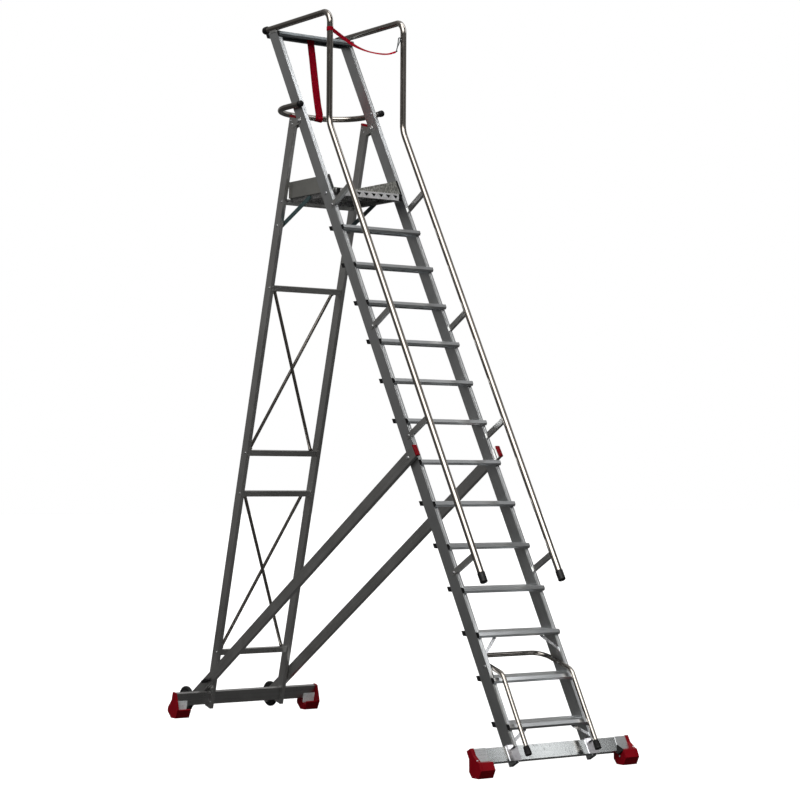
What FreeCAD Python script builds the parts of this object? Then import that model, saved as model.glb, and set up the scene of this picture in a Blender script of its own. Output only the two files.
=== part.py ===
import FreeCAD, Part
import math
import os

# Mobile ladder stand: a steep flight of treads with a folding rear frame.
# Millimetres. +X is the climber's right, +Y runs from the foot of the flight
# towards the rear frame, +Z is up. The stand rests on z = 0 on its four feet.

# ---------------------------------------------------------------- dimensions
SLOPE = 60.0            # flight slope
RISE = 235.0            # tread to tread
TREADS = 13
TOP0 = 24.0             # tread top = RISE * i + TOP0
CROSSBAR_TOP = 4372.0

X_IN, X_OUT = 256.0, 281.0      # inner and outer faces of stiles and legs
N_FRONT, N_REAR = 13.0, 99.0    # stile front and rear faces behind the nosing line
S_BOT, S_TOP = 97.0, 5160.0     # stile ends along the slope, before the head is cut level
HEAD_Z = 4370.0                 # level cut of the stile head
WALL = 2.4

BAR_X = 534.0                   # half length of both base bars
FB_N0, FB_N1, FB_S0, FB_S1 = 41.0, 70.0, 111.0, 193.0

LEAN = 14.8                     # rear frame lean from the vertical
REAR_Y = 3351.0                 # where the leg axis meets the floor
LEG_U = 34.0                    # half depth of a leg
LEG_V0, LEG_V1 = 57.0, 3930.0
RB_U, RB_V0, RB_V1 = 14.5, 82.0, 166.0
CROSS_V = (437.0, 1508.0, 1778.0, 2852.0, 3402.0)

HINGE = (2278.0, 3770.0)        # fold pivot (y, z)
PLAT_PIVOT = (1965.0, 3285.0)   # platform pivot
STAY_LO = (2521.0, 3140.0)      # stay pivot on the leg
STAY_HI = (2202.0, 3285.0)      # stay pivot on the platform
STRUT_PIVOT = (1049.0, 1678.0)
STRUT_END = (3515.0, 88.0)      # lower end of the strut centre line
AXLE = (3538.0, 93.0)
KNOB = (3289.5, 233.0)
HANDLE_PIVOT = (356.0, 547.5)

RAIL_R = 19.0                   # handrail tube radius
MID_R = 18.0                    # mid rail tube radius
RAIL_T = 1.8
RAIL_X = 273.0
RAIL_N = 178.0                  # handrail height off the nosing line
HANDLE_R = 13.0

V = FreeCAD.Vector
c60, s60 = math.cos(math.radians(SLOPE)), math.sin(math.radians(SLOPE))
cL, sL = math.cos(math.radians(LEAN)), math.sin(math.radians(LEAN))

nodes = {}


# ---------------------------------------------------------------- helpers
def box(x0, x1, y0, y1, z0, z1):
    return Part.makeBox(x1 - x0, y1 - y0, z1 - z0, V(x0, y0, z0))


def prism_x(pts, x0, x1):
    w = Part.makePolygon([V(x0, y, z) for y, z in pts] + [V(x0, pts[0][0], pts[0][1])])
    return Part.Face(w).extrude(V(x1 - x0, 0, 0))


def cyl_x(y, z, r, x0, x1):
    return Part.makeCylinder(r, x1 - x0, V(x0, y, z), V(1, 0, 0))


def fl(shape):
    """Flight frame (x, -n, s) to the stand."""
    shape.rotate(V(0, 0, 0), V(1, 0, 0), -(90.0 - SLOPE))
    return shape


def rr(shape):
    """Rear frame (x, u, v) to the stand."""
    shape.rotate(V(0, 0, 0), V(1, 0, 0), LEAN)
    shape.translate(V(0, REAR_Y, 0))
    return shape


def fpt(n, s):
    return (c60 * s - s60 * n, s60 * s + c60 * n)


def rpt(u, v):
    return (REAR_Y + u * cL - v * sL, u * sL + v * cL)


def mirror(shape):
    return shape.mirror(V(0, 0, 0), V(1, 0, 0))


def both(shape):
    return Part.makeCompound([mirror(shape), shape])


def group(shapes):
    return Part.makeCompound(shapes)


def solids_of(shape):
    return [s for s in shape.Solids]


def path_edges(pts, radii):
    """Straight runs joined by tangent arcs."""
    pts = [V(*p) for p in pts]
    edges, start = [], pts[0]
    for i in range(1, len(pts) - 1):
        p, a, b = pts[i], pts[i - 1], pts[i + 1]
        u1 = (a - p).normalize()
        u2 = (b - p).normalize()
        ang = math.acos(max(-1.0, min(1.0, u1.dot(u2))))
        r = radii[i - 1]
        t = r / math.tan(ang / 2.0)
        bis = (u1 + u2).normalize()
        cen = p + bis * (r / math.sin(ang / 2.0))
        t1, t2, mid = p + u1 * t, p + u2 * t, cen - bis * r
        edges.append(Part.LineSegment(start, t1).toShape())
        edges.append(Part.Arc(t1, mid, t2).toShape())
        start = t2
    edges.append(Part.LineSegment(start, pts[-1]).toShape())
    return Part.Wire(edges)


def pipe(pts, radii, r):
    wire = path_edges(pts, radii)
    p0, p1 = V(*pts[0]), V(*pts[1])
    circ = Part.Wire(Part.Circle(p0, p1 - p0, r).toShape())
    return wire.makePipeShell([circ], True, False)


def tube(pts, radii, r, t):
    return pipe(pts, radii, r).cut(pipe(pts, radii, r - t))


def round_cap(p0, p1, r, sleeve_r, sleeve_len, length, nose):
    """Moulded end cap on a tube end at p0, pointing away from p1."""
    a = (p0 - p1).normalize()
    body = Part.makeCylinder(r, length - nose, p0 - a * sleeve_len, a)
    tip = Part.makeSphere(r, V(0, 0, 0))
    c = p0 - a * sleeve_len + a * (length - nose)
    m = FreeCAD.Matrix()
    tip = Part.makeSphere(r, V(0, 0, 0), V(0, 0, 1), 0, 90, 360)
    m.scale(1, 1, nose / r)
    tip = tip.transformGeometry(m)
    rot = FreeCAD.Rotation(V(0, 0, 1), a)
    tip.Placement = FreeCAD.Placement(c, rot)
    cap = body.fuse(tip).removeSplitter()
    if sleeve_len > 0:
        cap = cap.cut(Part.makeCylinder(sleeve_r, sleeve_len, p0 - a * sleeve_len, a))
    return cap


def dome(x, y, z, r, h, sign):
    """Low domed bolt head standing on the plane X = x."""
    d = V(sign, 0, 0)
    base = Part.makeCylinder(r, h * 0.55, V(x, y, z), d)
    top = Part.makeCone(r, r * 0.6, h * 0.45, V(x + sign * h * 0.55, y, z), d)
    return base.fuse(top).removeSplitter()


def drill(shape, y, z, r, x0=200.0, x1=600.0):
    """Round hole along X on both sides of the stand."""
    h = cyl_x(y, z, r, x0, x1)
    return shape.cut(h).cut(mirror(h))


def drill_r(shape, y, z, r, x0=200.0, x1=600.0):
    return shape.cut(cyl_x(y, z, r, x0, x1))


# ---------------------------------------------------------------- stiles
def make_stile():
    s = box(X_IN, X_OUT, N_FRONT, N_REAR, S_BOT, S_TOP)
    s = s.cut(box(X_IN + WALL, X_OUT - WALL, N_FRONT + WALL + 0.8, N_REAR - WALL, S_BOT - 5, S_TOP + 5))
    # shallow groove down the front face
    s = s.cut(box(267.3, 269.7, N_FRONT - 1, N_FRONT + 1.2, S_BOT - 5, S_TOP + 5))
    # seat for the base bar, open to the front below the upper lip
    s = s.cut(box(X_IN - 5, X_OUT + 5, FB_N0, FB_N1, FB_S0, FB_S1))
    s = s.cut(box(X_IN - 5, X_OUT + 5, N_FRONT - 3, FB_N0 + 0.01, S_BOT - 5, 178.0))
    # the head is cut level
    return fl(s).cut(box(X_IN - 5, X_OUT + 5, 2300.0, 3000.0, HEAD_Z, 4800.0))


stile_r = make_stile()

# ---------------------------------------------------------------- treads
PROFILE = [(-10.4, 0.0), (-20.4, -17.3), (-13.5, -30.0), (-2.3, -30.0), (12.7, -4.0),
           (112.0, -4.0), (98.7, -27.0), (128.7, -27.0), (144.3, 0.0)]
NOSE_HOLE = [(-8.0, -2.6), (-17.2, -17.3), (-12.0, -27.4), (-4.0, -27.4), (10.2, -2.6)]
TAIL_HOLE = [(115.0, -2.6), (102.9, -24.4), (127.2, -24.4), (139.8, -2.6)]
RIBS = (36.0, 62.0, 88.0)


def make_tread(ztop):
    y0 = ztop * c60 / s60
    t = prism_x([(y0 + a, ztop + b) for a, b in PROFILE], -X_OUT, X_OUT)
    for hole in (NOSE_HOLE, TAIL_HOLE):
        t = t.cut(prism_x([(y0 + a, ztop + b) for a, b in hole], -X_OUT - 5, X_OUT + 5))
    ribs = [box(-X_IN + 0.5, X_IN - 0.5, y0 + a - 1.2, y0 + a + 1.2, ztop - 12.0, ztop - 4.0) for a in RIBS]
    t = t.fuse(ribs).removeSplitter()
    # serrated walking surface: shallow grooves along the tread
    g = [box(-X_IN - 30, X_IN + 30, y0 + a, y0 + a + 3.0, ztop - 1.0, ztop + 1.0)
         for a in (2.0, 12.0, 22.0, 32.0, 42.0, 52.0, 62.0, 72.0, 82.0, 92.0, 102.0, 112.0, 122.0)]
    t = t.cut(g)
    # the middle of each end is notched to pass round the stile
    for sx in (-1, 1):
        x0, x1 = sorted((sx * X_IN, sx * (X_OUT + 5)))
        t = t.cut(fl(box(x0, x1, N_FRONT, N_REAR, S_BOT, S_TOP)))
    return t


CAP_T = 2.2
FRONT_CAP = [(-10.4, 0.0), (-20.4, -17.3), (-13.5, -30.0), (-2.3, -30.0), (15.0, 0.0)]
REAR_CAP = [(114.2, 0.0), (98.7, -27.0), (128.7, -27.0), (144.3, 0.0)]


def make_caps(ztop):
    y0 = ztop * c60 / s60
    out = []
    for prof in (FRONT_CAP, REAR_CAP):
        p = prism_x([(y0 + a, ztop + b) for a, b in prof], X_OUT, X_OUT + CAP_T)
        out += [mirror(p), p]
    return out


caps = []
tops = []
for i in range(1, TREADS + 1):
    zt = RISE * i + TOP0
    tops.append(zt)
    nodes["tread_%02d" % i] = make_tread(zt)
    caps += make_caps(zt)
nodes["top_crossbar"] = make_tread(CROSSBAR_TOP)
caps += make_caps(CROSSBAR_TOP)
nodes["tread_end_caps"] = group(caps)


# flat braces from the underside of a tread to the stiles
def make_brace(xt, st, s_up, xb, sb, n0, n1):
    w = 9.0
    dx, ds = xb - xt, sb - st
    ln = math.hypot(dx, ds)
    px, ps = -ds / ln * w, dx / ln * w
    poly = [(xt + px, st + ps), (xb + px, sb + ps), (xb - px, sb - ps), (xt - px, st - ps)]
    wr = Part.makePolygon([V(a, n0, b) for a, b in poly + poly[:1]])
    f = Part.Face(wr).extrude(V(0, n1 - n0, 0))
    f = f.fuse(box(xt - 10, xt + 9, n0, n1, st - 4, s_up)).removeSplitter()
    f = f.common(box(0, X_IN, n0 - 5, n1 + 5, 0, 3000))
    f = f.fuse(box(X_IN - 3, X_IN, n0, n0 + 26, sb - 9, sb + 9)).removeSplitter()
    return fl(f)


braces = []
for i, xt, st, xb, sb in ((3, 165.0, 812.0, 260.0, 722.0), (1, 168.0, 268.0, 260.0, 212.0)):
    zt = tops[i - 1]
    # the tab ends on the flat underside of the tread plate
    up = (zt - 4.0 + 0.5 * 16.0) / s60
    b = make_brace(xt, st, up + 6.0, xb, sb, 16.0, 18.6)
    b = b.cut(nodes["tread_%02d" % i])
    b = group([s for s in b.Solids if s.Volume > 500.0][:1])
    braces += [mirror(b.Solids[0]), b.Solids[0]]
nodes["tread_braces"] = group(braces)

# ---------------------------------------------------------------- front base bar
bar = box(-BAR_X, BAR_X, FB_N0, FB_N1, FB_S0, FB_S1)
bar = bar.cut(box(-BAR_X - 5, BAR_X + 5, FB_N0 + 2.5, FB_N1 - 2.5, FB_S0 + 2.5, FB_S1 - 2.5))
nodes["front_base_bar"] = fl(bar)

sl_out = box(447.0, BAR_X, FB_N0 - 1.6, FB_N1 + 1.6, FB_S0 - 1.6, FB_S1 + 1.6)
sl_in = box(440.0, BAR_X + 5, FB_N0, FB_N1, FB_S0, FB_S1)
sleeve = fl(sl_out.cut(sl_in))
nodes["front_bar_sleeves"] = both(sleeve)

# saddles clamp the bar to each stile foot
sad = box(235.0, 310.0, FB_N0 - 3.6, FB_N0, 108.0, 198.0)
sad = sad.fuse(box(235.0, 310.0, FB_N0 - 3.6, FB_N1 + 3.0, FB_S1, 198.0)).removeSplitter()
sad = sad.cut(box(X_IN, X_OUT, N_FRONT - 5, N_REAR + 5, 178.0, 260.0))
nodes["front_saddles"] = both(fl(sad))

# front feet: a moulded block under the bar and a plate closing its end
F_PLATE = [(57, 0), (113, 0), (139, 28), (140, 95), (162.6, 133.6), (130.5, 152), (109.5, 117), (66, 87), (55, 84), (35, 44)]
F_BLOCK = [(57, 0), (113, 0), (139, 28), (139, 62), (120, 84), (95, 84), (57, 84), (35, 44)]
foot = prism_x(F_PLATE, 523.0, 546.0).fuse(prism_x(F_BLOCK, 450.0, BAR_X)).removeSplitter()
foot = foot.cut(fl(box(430.0, BAR_X, FB_N0 - 1.6, FB_N1 + 1.6, FB_S0 - 1.6, FB_S1 + 1.6)))
foot = group([max(foot.Solids, key=lambda s: s.Volume)])
nodes["front_feet"] = both(foot.Solids[0])

# ---------------------------------------------------------------- handrails
K1 = (1940.0, 3722.0)
p_lo = fpt(RAIL_N, 1098.0)
RAIL_TOP = 4400.5
RAIL_END = (RAIL_X, 2676.0, RAIL_TOP)
rail_pts = [(RAIL_X, p_lo[0], p_lo[1]), (RAIL_X, K1[0], K1[1]), (RAIL_X, 1940.0, RAIL_TOP), RAIL_END]
rail_pts = [tuple(float(a) for a in p) for p in rail_pts]
# the sloped run meets the upright run where both lines cross
n_run = RAIL_N
s_cross = (1940.0 + s60 * n_run) / c60
rail_pts[1] = (RAIL_X, 1940.0, s60 * s_cross + c60 * n_run)
rail_r = tube(rail_pts, [160.0, 72.0], RAIL_R, RAIL_T)
rail_solid = pipe(rail_pts, [160.0, 72.0], RAIL_R)
nodes["handrail_left"] = mirror(rail_r)
nodes["handrail_right"] = rail_r

# mid rail: one tube bent round the back of the platform
MID_Z, MID_X, MID_Y0, MID_Y1, MID_BEND = 3866.0, 303.0, 2225.0, 2622.0, 235.0
mid_pts = [(-MID_X, MID_Y0, MID_Z), (-MID_X, MID_Y1, MID_Z), (MID_X, MID_Y1, MID_Z), (MID_X, MID_Y0, MID_Z)]
nodes["mid_rail"] = tube(mid_pts, [MID_BEND, MID_BEND], MID_R, RAIL_T)
mid_solid = pipe(mid_pts, [MID_BEND, MID_BEND], MID_R)

rc = []
a, b = V(*rail_pts[0]), V(*rail_pts[1])
rc.append(round_cap(a, b, 21.5, RAIL_R, 14.0, 62.0, 8.0))
a, b = V(*rail_pts[3]), V(*rail_pts[2])
rc.append(round_cap(a, b, 24.5, RAIL_R, 12.0, 44.0, 20.0))
a, b = V(*mid_pts[3]), V(*mid_pts[2])
rc.append(round_cap(a, b, 20.5, MID_R, 10.0, 28.0, 10.0))
nodes["rail_end_caps"] = group([mirror(s) for s in rc] + rc)

# stand-off brackets from each stile to its handrail
BRACKET_S = (1224.0, 2101.0, 2847.0, 3723.0)
brk = []
for sb in BRACKET_S:
    arm = box(263.0, X_OUT + 3.0, -RAIL_N + 6.0, N_FRONT, sb - 15.0, sb + 15.0)
    arm = arm.cut(box(265.2, X_OUT + 0.8, -RAIL_N - 5, N_FRONT + 0.01, sb - 12.8, sb + 20.0))
    arm = arm.fuse(box(X_OUT, X_OUT + 3.0, N_FRONT - 1, 48.0, sb - 15.0, sb + 15.0)).removeSplitter()
    arm = fl(arm).cut(rail_solid)
    arm = max(arm.Solids, key=lambda s: s.Volume)
    brk.append(arm)
# cradle on the stile head: a plug in the hollow head and a seat for the rail
plug = fl(box(X_IN + WALL, X_OUT - WALL, N_FRONT + WALL + 0.8, N_REAR - WALL, 4950.0, S_TOP))
plug = plug.common(box(X_IN, X_OUT, 2400.0, 2800.0, HEAD_Z - 60.0, HEAD_Z))
seat = box(X_IN + 1.0, X_OUT + 4.0, 2548.0, 2622.0, HEAD_Z, RAIL_TOP - RAIL_R + 5.0)
cradle = plug.fuse(seat).removeSplitter().cut(rail_solid)
brk.append(max(cradle.Solids, key=lambda q: q.Volume))
nodes["handrail_brackets"] = group([mirror(s) for s in brk] + brk)

# ---------------------------------------------------------------- straps
# entry strap: a sewn loop round the left rail and a sagging run to the hook
STRAP_T, STRAP_W, STRAP_Y = 2.0, 25.0, 1940.0
SAG = [(-252.6, 4284.0), (-190.0, 4251.0), (-110.0, 4211.0), (-30.0, 4186.5), (55.0, 4177.0), (130.0, 4178.5),
       (180.0, 4188.0), (213.0, 4205.0)]


def bend_radii(pts):
    """Each bend as large as its two runs allow."""
    out = []
    for i in range(1, len(pts) - 1):
        p, q, r = V(*pts[i - 1]), V(*pts[i]), V(*pts[i + 1])
        turn = (q - p).getAngle(r - q)
        out.append(0.45 * min((q - p).Length, (r - q).Length) / math.tan(turn / 2.0))
    return out


strap_pts = [(x, STRAP_Y, z) for x, z in SAG]
strap_radii = bend_radii(strap_pts)
strap_wire = path_edges(strap_pts, strap_radii)
print("strap radii", [round(r) for r in strap_radii], "length", round(strap_wire.Length, 1))
a0, a1 = V(*strap_pts[0]), V(*strap_pts[1])
nrm = (a1 - a0).normalize().cross(V(0, 1, 0)).normalize()
hw = V(0, STRAP_W / 2, 0)
ht = nrm * (STRAP_T / 2)
sec = Part.makePolygon([a0 - hw - ht, a0 + hw - ht, a0 + hw + ht, a0 - hw + ht, a0 - hw - ht])
strap = strap_wire.makePipeShell([sec], True, False)
print("strap volume", round(strap.Volume), "section x length", round(STRAP_T * STRAP_W * strap_wire.Length))
loop = Part.makeCylinder(RAIL_R + 2.2, 26.0, V(-RAIL_X, STRAP_Y, 4274.0), V(0, 0, 1))
loop = loop.cut(Part.makeCylinder(RAIL_R, 40.0, V(-RAIL_X, STRAP_Y, 4268.0), V(0, 0, 1)))
nodes["strap_loop"] = loop
nodes["entry_strap"] = strap.cut(Part.makeCylinder(RAIL_R + 2.2, 60.0, V(-RAIL_X, STRAP_Y, 4255.0), V(0, 0, 1)))


# snap hook hanging from an eye on the right rail
hk = pipe([(213.6, STRAP_Y, 4205.3), (220.0, STRAP_Y, 4209.0), (230.0, STRAP_Y, 4246.0), (236.0, STRAP_Y, 4292.0),
           (247.0, STRAP_Y, 4300.0), (249.0, STRAP_Y, 4286.0), (246.0, STRAP_Y, 4272.0)], [4.2, 30.0, 7.0, 5.5, 12.0], 3.2)
# the closed gate runs from the hook's nose back down to its shank
g0, g1 = V(246.0, STRAP_Y, 4272.0), V(227.0, STRAP_Y, 4233.0)
gate = Part.makeCylinder(2.6, (g1 - g0).Length, g0, g1 - g0).fuse(Part.makeSphere(3.2, g0))
bar = Part.makeCylinder(3.2, 30.0, V(215.6, STRAP_Y - 15.0, 4206.4), V(0, 1, 0))
hk = hk.fuse([bar, gate]).removeSplitter()
eye = Part.makeCylinder(1.8, 8.0, V(248.5, STRAP_Y, 4284.0), V(1, 0, 0)).fuse(
    Part.makeCylinder(5.5, 3.0, V(252.0, STRAP_Y, 4284.0), V(1, 0, 0)))
eye = eye.cut(rail_solid)
eye = max(eye.Solids, key=lambda s: s.Volume)
hk = hk.cut(eye).cut(nodes["entry_strap"])
hk = max(hk.Solids, key=lambda s: s.Volume)
nodes["strap_hook"] = hk
eye_stud = eye

# vertical strap: from under the top crossbar, looped round the mid rail
VW = 25.0
yt = CROSSBAR_TOP * c60 / s60
top_c, bot_c = V(-15.0, yt + 30.0, CROSSBAR_TOP - 4.5), V(80.0, MID_Y1 - MID_R - 1.2, MID_Z)
d = (bot_c - top_c)
ln = d.Length
vs = box(-VW, VW, -1.0, 1.0, -ln, 0.0)
# turn the strap to run from the crossbar to the mid rail
zdir = (top_c - bot_c).normalize()
xdir = V(1, 0, 0) - zdir * zdir.x
xdir.normalize()
ydir = zdir.cross(xdir)
m = FreeCAD.Matrix(xdir.x, ydir.x, zdir.x, top_c.x, xdir.y, ydir.y, zdir.y, top_c.y, xdir.z, ydir.z, zdir.z, top_c.z, 0, 0, 0, 1)
vs.transformShape(m)
lp = pipe(mid_pts, [MID_BEND, MID_BEND], MID_R + 2.2).common(box(53.0, 107.0, MID_Y1 - 60.0, MID_Y1 + 60.0, MID_Z - 60.0, MID_Z + 60.0))
vs = vs.fuse(lp).removeSplitter().cut(mid_solid)
vs = vs.cut(nodes["top_crossbar"])
nodes["vertical_strap"] = group([max(vs.Solids, key=lambda s: s.Volume)])

# ---------------------------------------------------------------- rear frame
leg = box(X_IN, X_OUT, -LEG_U, LEG_U, LEG_V0, LEG_V1)
leg = leg.cut(box(X_IN + WALL, X_OUT - WALL, -LEG_U + WALL, LEG_U - WALL, LEG_V0 - 5, LEG_V1 + 5))
leg = leg.cut(box(X_IN - 5, X_OUT + 5, -RB_U, RB_U, RB_V0, RB_V1))
leg_r = rr(leg)

cap = box(X_IN - 1.5, X_OUT + 1.5, -LEG_U - 1.5, LEG_U + 1.5, LEG_V1, LEG_V1 + 14.0)
cap = cap.makeFillet(5.0, [e for e in cap.Edges if abs(e.BoundBox.ZMin - (LEG_V1 + 14.0)) < 0.01])
cap = cap.fuse(box(X_IN + WALL, X_OUT - WALL, -LEG_U + WALL, LEG_U - WALL, LEG_V1 - 14.0, LEG_V1 + 1.0)).removeSplitter()
nodes["leg_caps"] = both(rr(cap))

cb = []
for v in CROSS_V:
    c = box(-X_IN, X_IN, -23.0, -1.0, v - 18.0, v + 18.0)
    c = c.cut(box(-X_IN - 5, X_IN + 5, -20.8, -3.2, v - 15.8, v + 15.8))
    cb.append(rr(c))
nodes["cross_bars"] = group(cb)


def brace_tube(p, q, uc, ends):
    """Round tube from p to q in the (x, v) plane with flat lugs bolted to the rear of two bars."""
    dx, dv = q[0] - p[0], q[1] - p[1]
    ln = math.hypot(dx, dv)
    u0 = uc - BRACE_R
    s = Part.makeCylinder(BRACE_R, ln - 56.0, V(28.0, uc, 0), V(1, 0, 0))
    s = s.cut(Part.makeCylinder(BRACE_R - 1.5, ln - 46.0, V(23.0, uc, 0), V(1, 0, 0)))
    for x, d in ((0.0, 1.0), (ln, -1.0)):
        lug = box(min(x, x + d * 30.0), max(x, x + d * 30.0), u0, u0 + 3.0, -BRACE_R, BRACE_R)
        lug = lug.fuse(Part.makeCylinder(BRACE_R + 1.5, 3.0, V(x, u0, 0), V(0, 1, 0)))
        # the tube is pressed flat towards the lug
        x0, x1 = x + d * 14.0, x + d * 30.0
        w = Part.makePolygon([V(x0, u0, -BRACE_R), V(x1, u0, -BRACE_R), V(x1, uc + BRACE_R - 1.0, -BRACE_R),
                              V(x0, u0 + 3.0, -BRACE_R), V(x0, u0, -BRACE_R)])
        lug = lug.fuse(Part.Face(w).extrude(V(0, 0, 2 * BRACE_R)))
        if ends > 0.5:
            lug = lug.fuse(Part.makeCylinder(8.0, ends, V(x, u0 - ends, 0), V(0, 1, 0)))
        s = s.fuse(lug)
    s = s.removeSplitter()
    ang = math.degrees(math.atan2(dv, dx))
    s.rotate(V(0, 0, 0), V(0, 1, 0), -ang)
    s.translate(V(p[0], 0.0, p[1]))
    return s


BRACE_R = 10.5
BX = 232.0
xb = []
for v1, v0 in ((2852.0, 1778.0), (1508.0, 437.0)):
    xb.append(brace_tube((-BX, v1), (BX, v0), -1.0 + BRACE_R, 0.0))
    xb.append(brace_tube((BX, v1), (-BX, v0), -1.0 + BRACE_R * 3 + 0.6, 2 * BRACE_R + 0.6))
xb = [rr(q) for q in xb]
nodes["x_braces"] = group([max(q.Solids, key=lambda w: w.Volume) for q in xb])

rb = box(-BAR_X, BAR_X, -RB_U, RB_U, RB_V0, RB_V1)
rb = rb.cut(box(-BAR_X - 5, BAR_X + 5, -RB_U + 2.5, RB_U - 2.5, RB_V0 + 2.5, RB_V1 - 2.5))
nodes["rear_base_bar"] = rr(rb)
# light plate on the front of the bar over each rear foot
rs = box(447.0, BAR_X, -RB_U - 2.4, -RB_U, 52.0, 115.0)
nodes["rear_bar_plates"] = both(rr(rs))

R_PLATE = [(3289, 0), (3346, 0), (3391, 39), (3391, 55), (3382, 73), (3341, 114), (3325, 168), (3290, 161), (3275, 110), (3261, 55)]
R_BLOCK = [(3289, 0), (3346, 0), (3391, 39), (3391, 55), (3382, 73), (3350, 95), (3310, 95), (3284, 62), (3261, 52)]
rf = prism_x(R_PLATE, BAR_X, 546.0).fuse(prism_x(R_BLOCK, 445.0, BAR_X)).removeSplitter()
rf = rf.cut(rr(box(430.0, BAR_X, -RB_U, RB_U, RB_V0, RB_V1)))
rf = rf.cut(rr(box(430.0, BAR_X, -60.0, -RB_U, 52.0, 200.0)))
rf = max(rf.Solids, key=lambda s: s.Volume)
nodes["rear_feet"] = both(rf)

# hinge plates, one inside and one outside each leg head
hu, hv = -74.3, 3919.0
hu = (HINGE[0] - REAR_Y) * cL + HINGE[1] * sL
hv = -(HINGE[0] - REAR_Y) * sL + HINGE[1] * cL
HP_R = 25.0
pl = [(hu, hv + HP_R), (hu + 14.0, hv + 20.7), (-36.0, 3927.0), (26.0, 3927.0), (26.0, 3868.0), (-30.0, 3868.0), (hu, hv - HP_R)]


def hinge_plate(x0, x1):
    w = Part.makePolygon([V(x0, u, v) for u, v in pl + pl[:1]])
    f = Part.Face(w).extrude(V(x1 - x0, 0, 0))
    f = f.fuse(cyl_x(hu, hv, HP_R, x0, x1)).removeSplitter()
    return rr(f)


GAP = 0.3
hp_in = hinge_plate(X_IN - GAP - 3.0, X_IN - GAP)
hp_out = hinge_plate(X_OUT + GAP, X_OUT + GAP + 2.4)

# ---------------------------------------------------------------- platform
PX = 241.0
NOSE_X = 218.0
DECK_Z = 3314.0
deck = box(-PX, PX, 1903.0, 2430.0, DECK_Z - 3.0, DECK_Z)
beam_z = 3275.0
deck = deck.fuse([box(-NOSE_X, NOSE_X, 1900.0, 1903.0, 3272.0, DECK_Z), box(-NOSE_X, NOSE_X, 1903.0, 1912.0, 3272.0, 3275.0),
                  box(-PX, -PX + 3, 1903.0, 2430.0, beam_z, DECK_Z - 3.0), box(PX - 3, PX, 1903.0, 2430.0, beam_z, DECK_Z - 3.0),
                  box(-PX + 3, -PX + 22, 1912.0, 2430.0, beam_z, beam_z + 3.0), box(PX - 22, PX - 3, 1912.0, 2430.0, beam_z, beam_z + 3.0),
                  box(-PX + 3, PX - 3, 2390.0, 2393.0, 3280.0, DECK_Z - 3.0),
                  box(-PX + 3, PX - 3, 2150.0, 2153.0, 3288.0, DECK_Z - 3.0)]).removeSplitter()
TB_IN, TB_OUT = 249.8, 252.2
TB_Z0, TB_Z1 = 3303.0, 3405.0


def slope_y(z, n):
    """Where a line n behind the nosing line is at height z."""
    return (z + c60 * n) * c60 / s60 + s60 * n


def sloped(x0, x1, z0, z1, n0, n1):
    """Bar between two lines parallel to the flight, n0 and n1 behind the nosing line."""
    return prism_x([(slope_y(z0, n0), z0), (slope_y(z0, n1), z0), (slope_y(z1, n1), z1), (slope_y(z1, n0), z1)], x0, x1)


side = prism_x([(slope_y(TB_Z0, 12.0), TB_Z0), (2430.0, TB_Z0), (2430.0, TB_Z1), (slope_y(TB_Z1, 12.0), TB_Z1)], TB_IN, TB_OUT)
# flanges to the deck, left open where the stay swings
side = side.fuse([box(PX, TB_OUT, 1950.0, 2110.0, TB_Z0, TB_Z0 + 2.4), box(PX, TB_OUT, 2310.0, 2430.0, TB_Z0, TB_Z0 + 2.4)]).removeSplitter()
nodes["toe_boards_side"] = both(side)
nodes["toe_board_rear"] = box(-TB_IN + 0.2, TB_IN - 0.2, 2430.0, 2432.4, TB_Z0, TB_Z1)
tc = sloped(TB_IN - 1.6, TB_OUT + 1.4, 3320.0, TB_Z1 + 2.0, 3.0, 12.0)
nc = box(NOSE_X, PX, 1898.5, 1903.0, 3274.0, DECK_Z)
nodes["platform_end_caps"] = group([mirror(tc), tc, mirror(nc), nc])

# stays between legs and platform
ST0, ST1 = 243.5, 247.5
STAY_HW = 15.0


def make_stay():
    dy, dz = STAY_HI[0] - STAY_LO[0], STAY_HI[1] - STAY_LO[1]
    ln = math.hypot(dy, dz)
    s = box(ST0, ST1, 0, ln, -STAY_HW, STAY_HW)
    s = s.fuse([cyl_x(0, 0, STAY_HW, ST0, ST1), cyl_x(ln, 0, STAY_HW, ST0, ST1)]).removeSplitter()
    s.rotate(V(0, 0, 0), V(1, 0, 0), math.degrees(math.atan2(dz, dy)))
    s.translate(V(0, STAY_LO[0], STAY_LO[1]))
    stub = cyl_x(STAY_HI[0], STAY_HI[1], 6.0, PX + 0.6, ST0)
    head = cyl_x(STAY_HI[0], STAY_HI[1], 9.0, ST1, ST1 + 1.8)
    s = s.fuse([stub, head]).removeSplitter()
    return s.cut(cyl_x(STAY_LO[0], STAY_LO[1], 5.06, ST0 - 5, ST1 + 5))


stay_r = make_stay()
nodes["stay_left"] = mirror(stay_r)
nodes["stay_right"] = stay_r

# ---------------------------------------------------------------- wheel struts
SX0, SX1 = 284.0, 309.0
SW = 34.5


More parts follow.
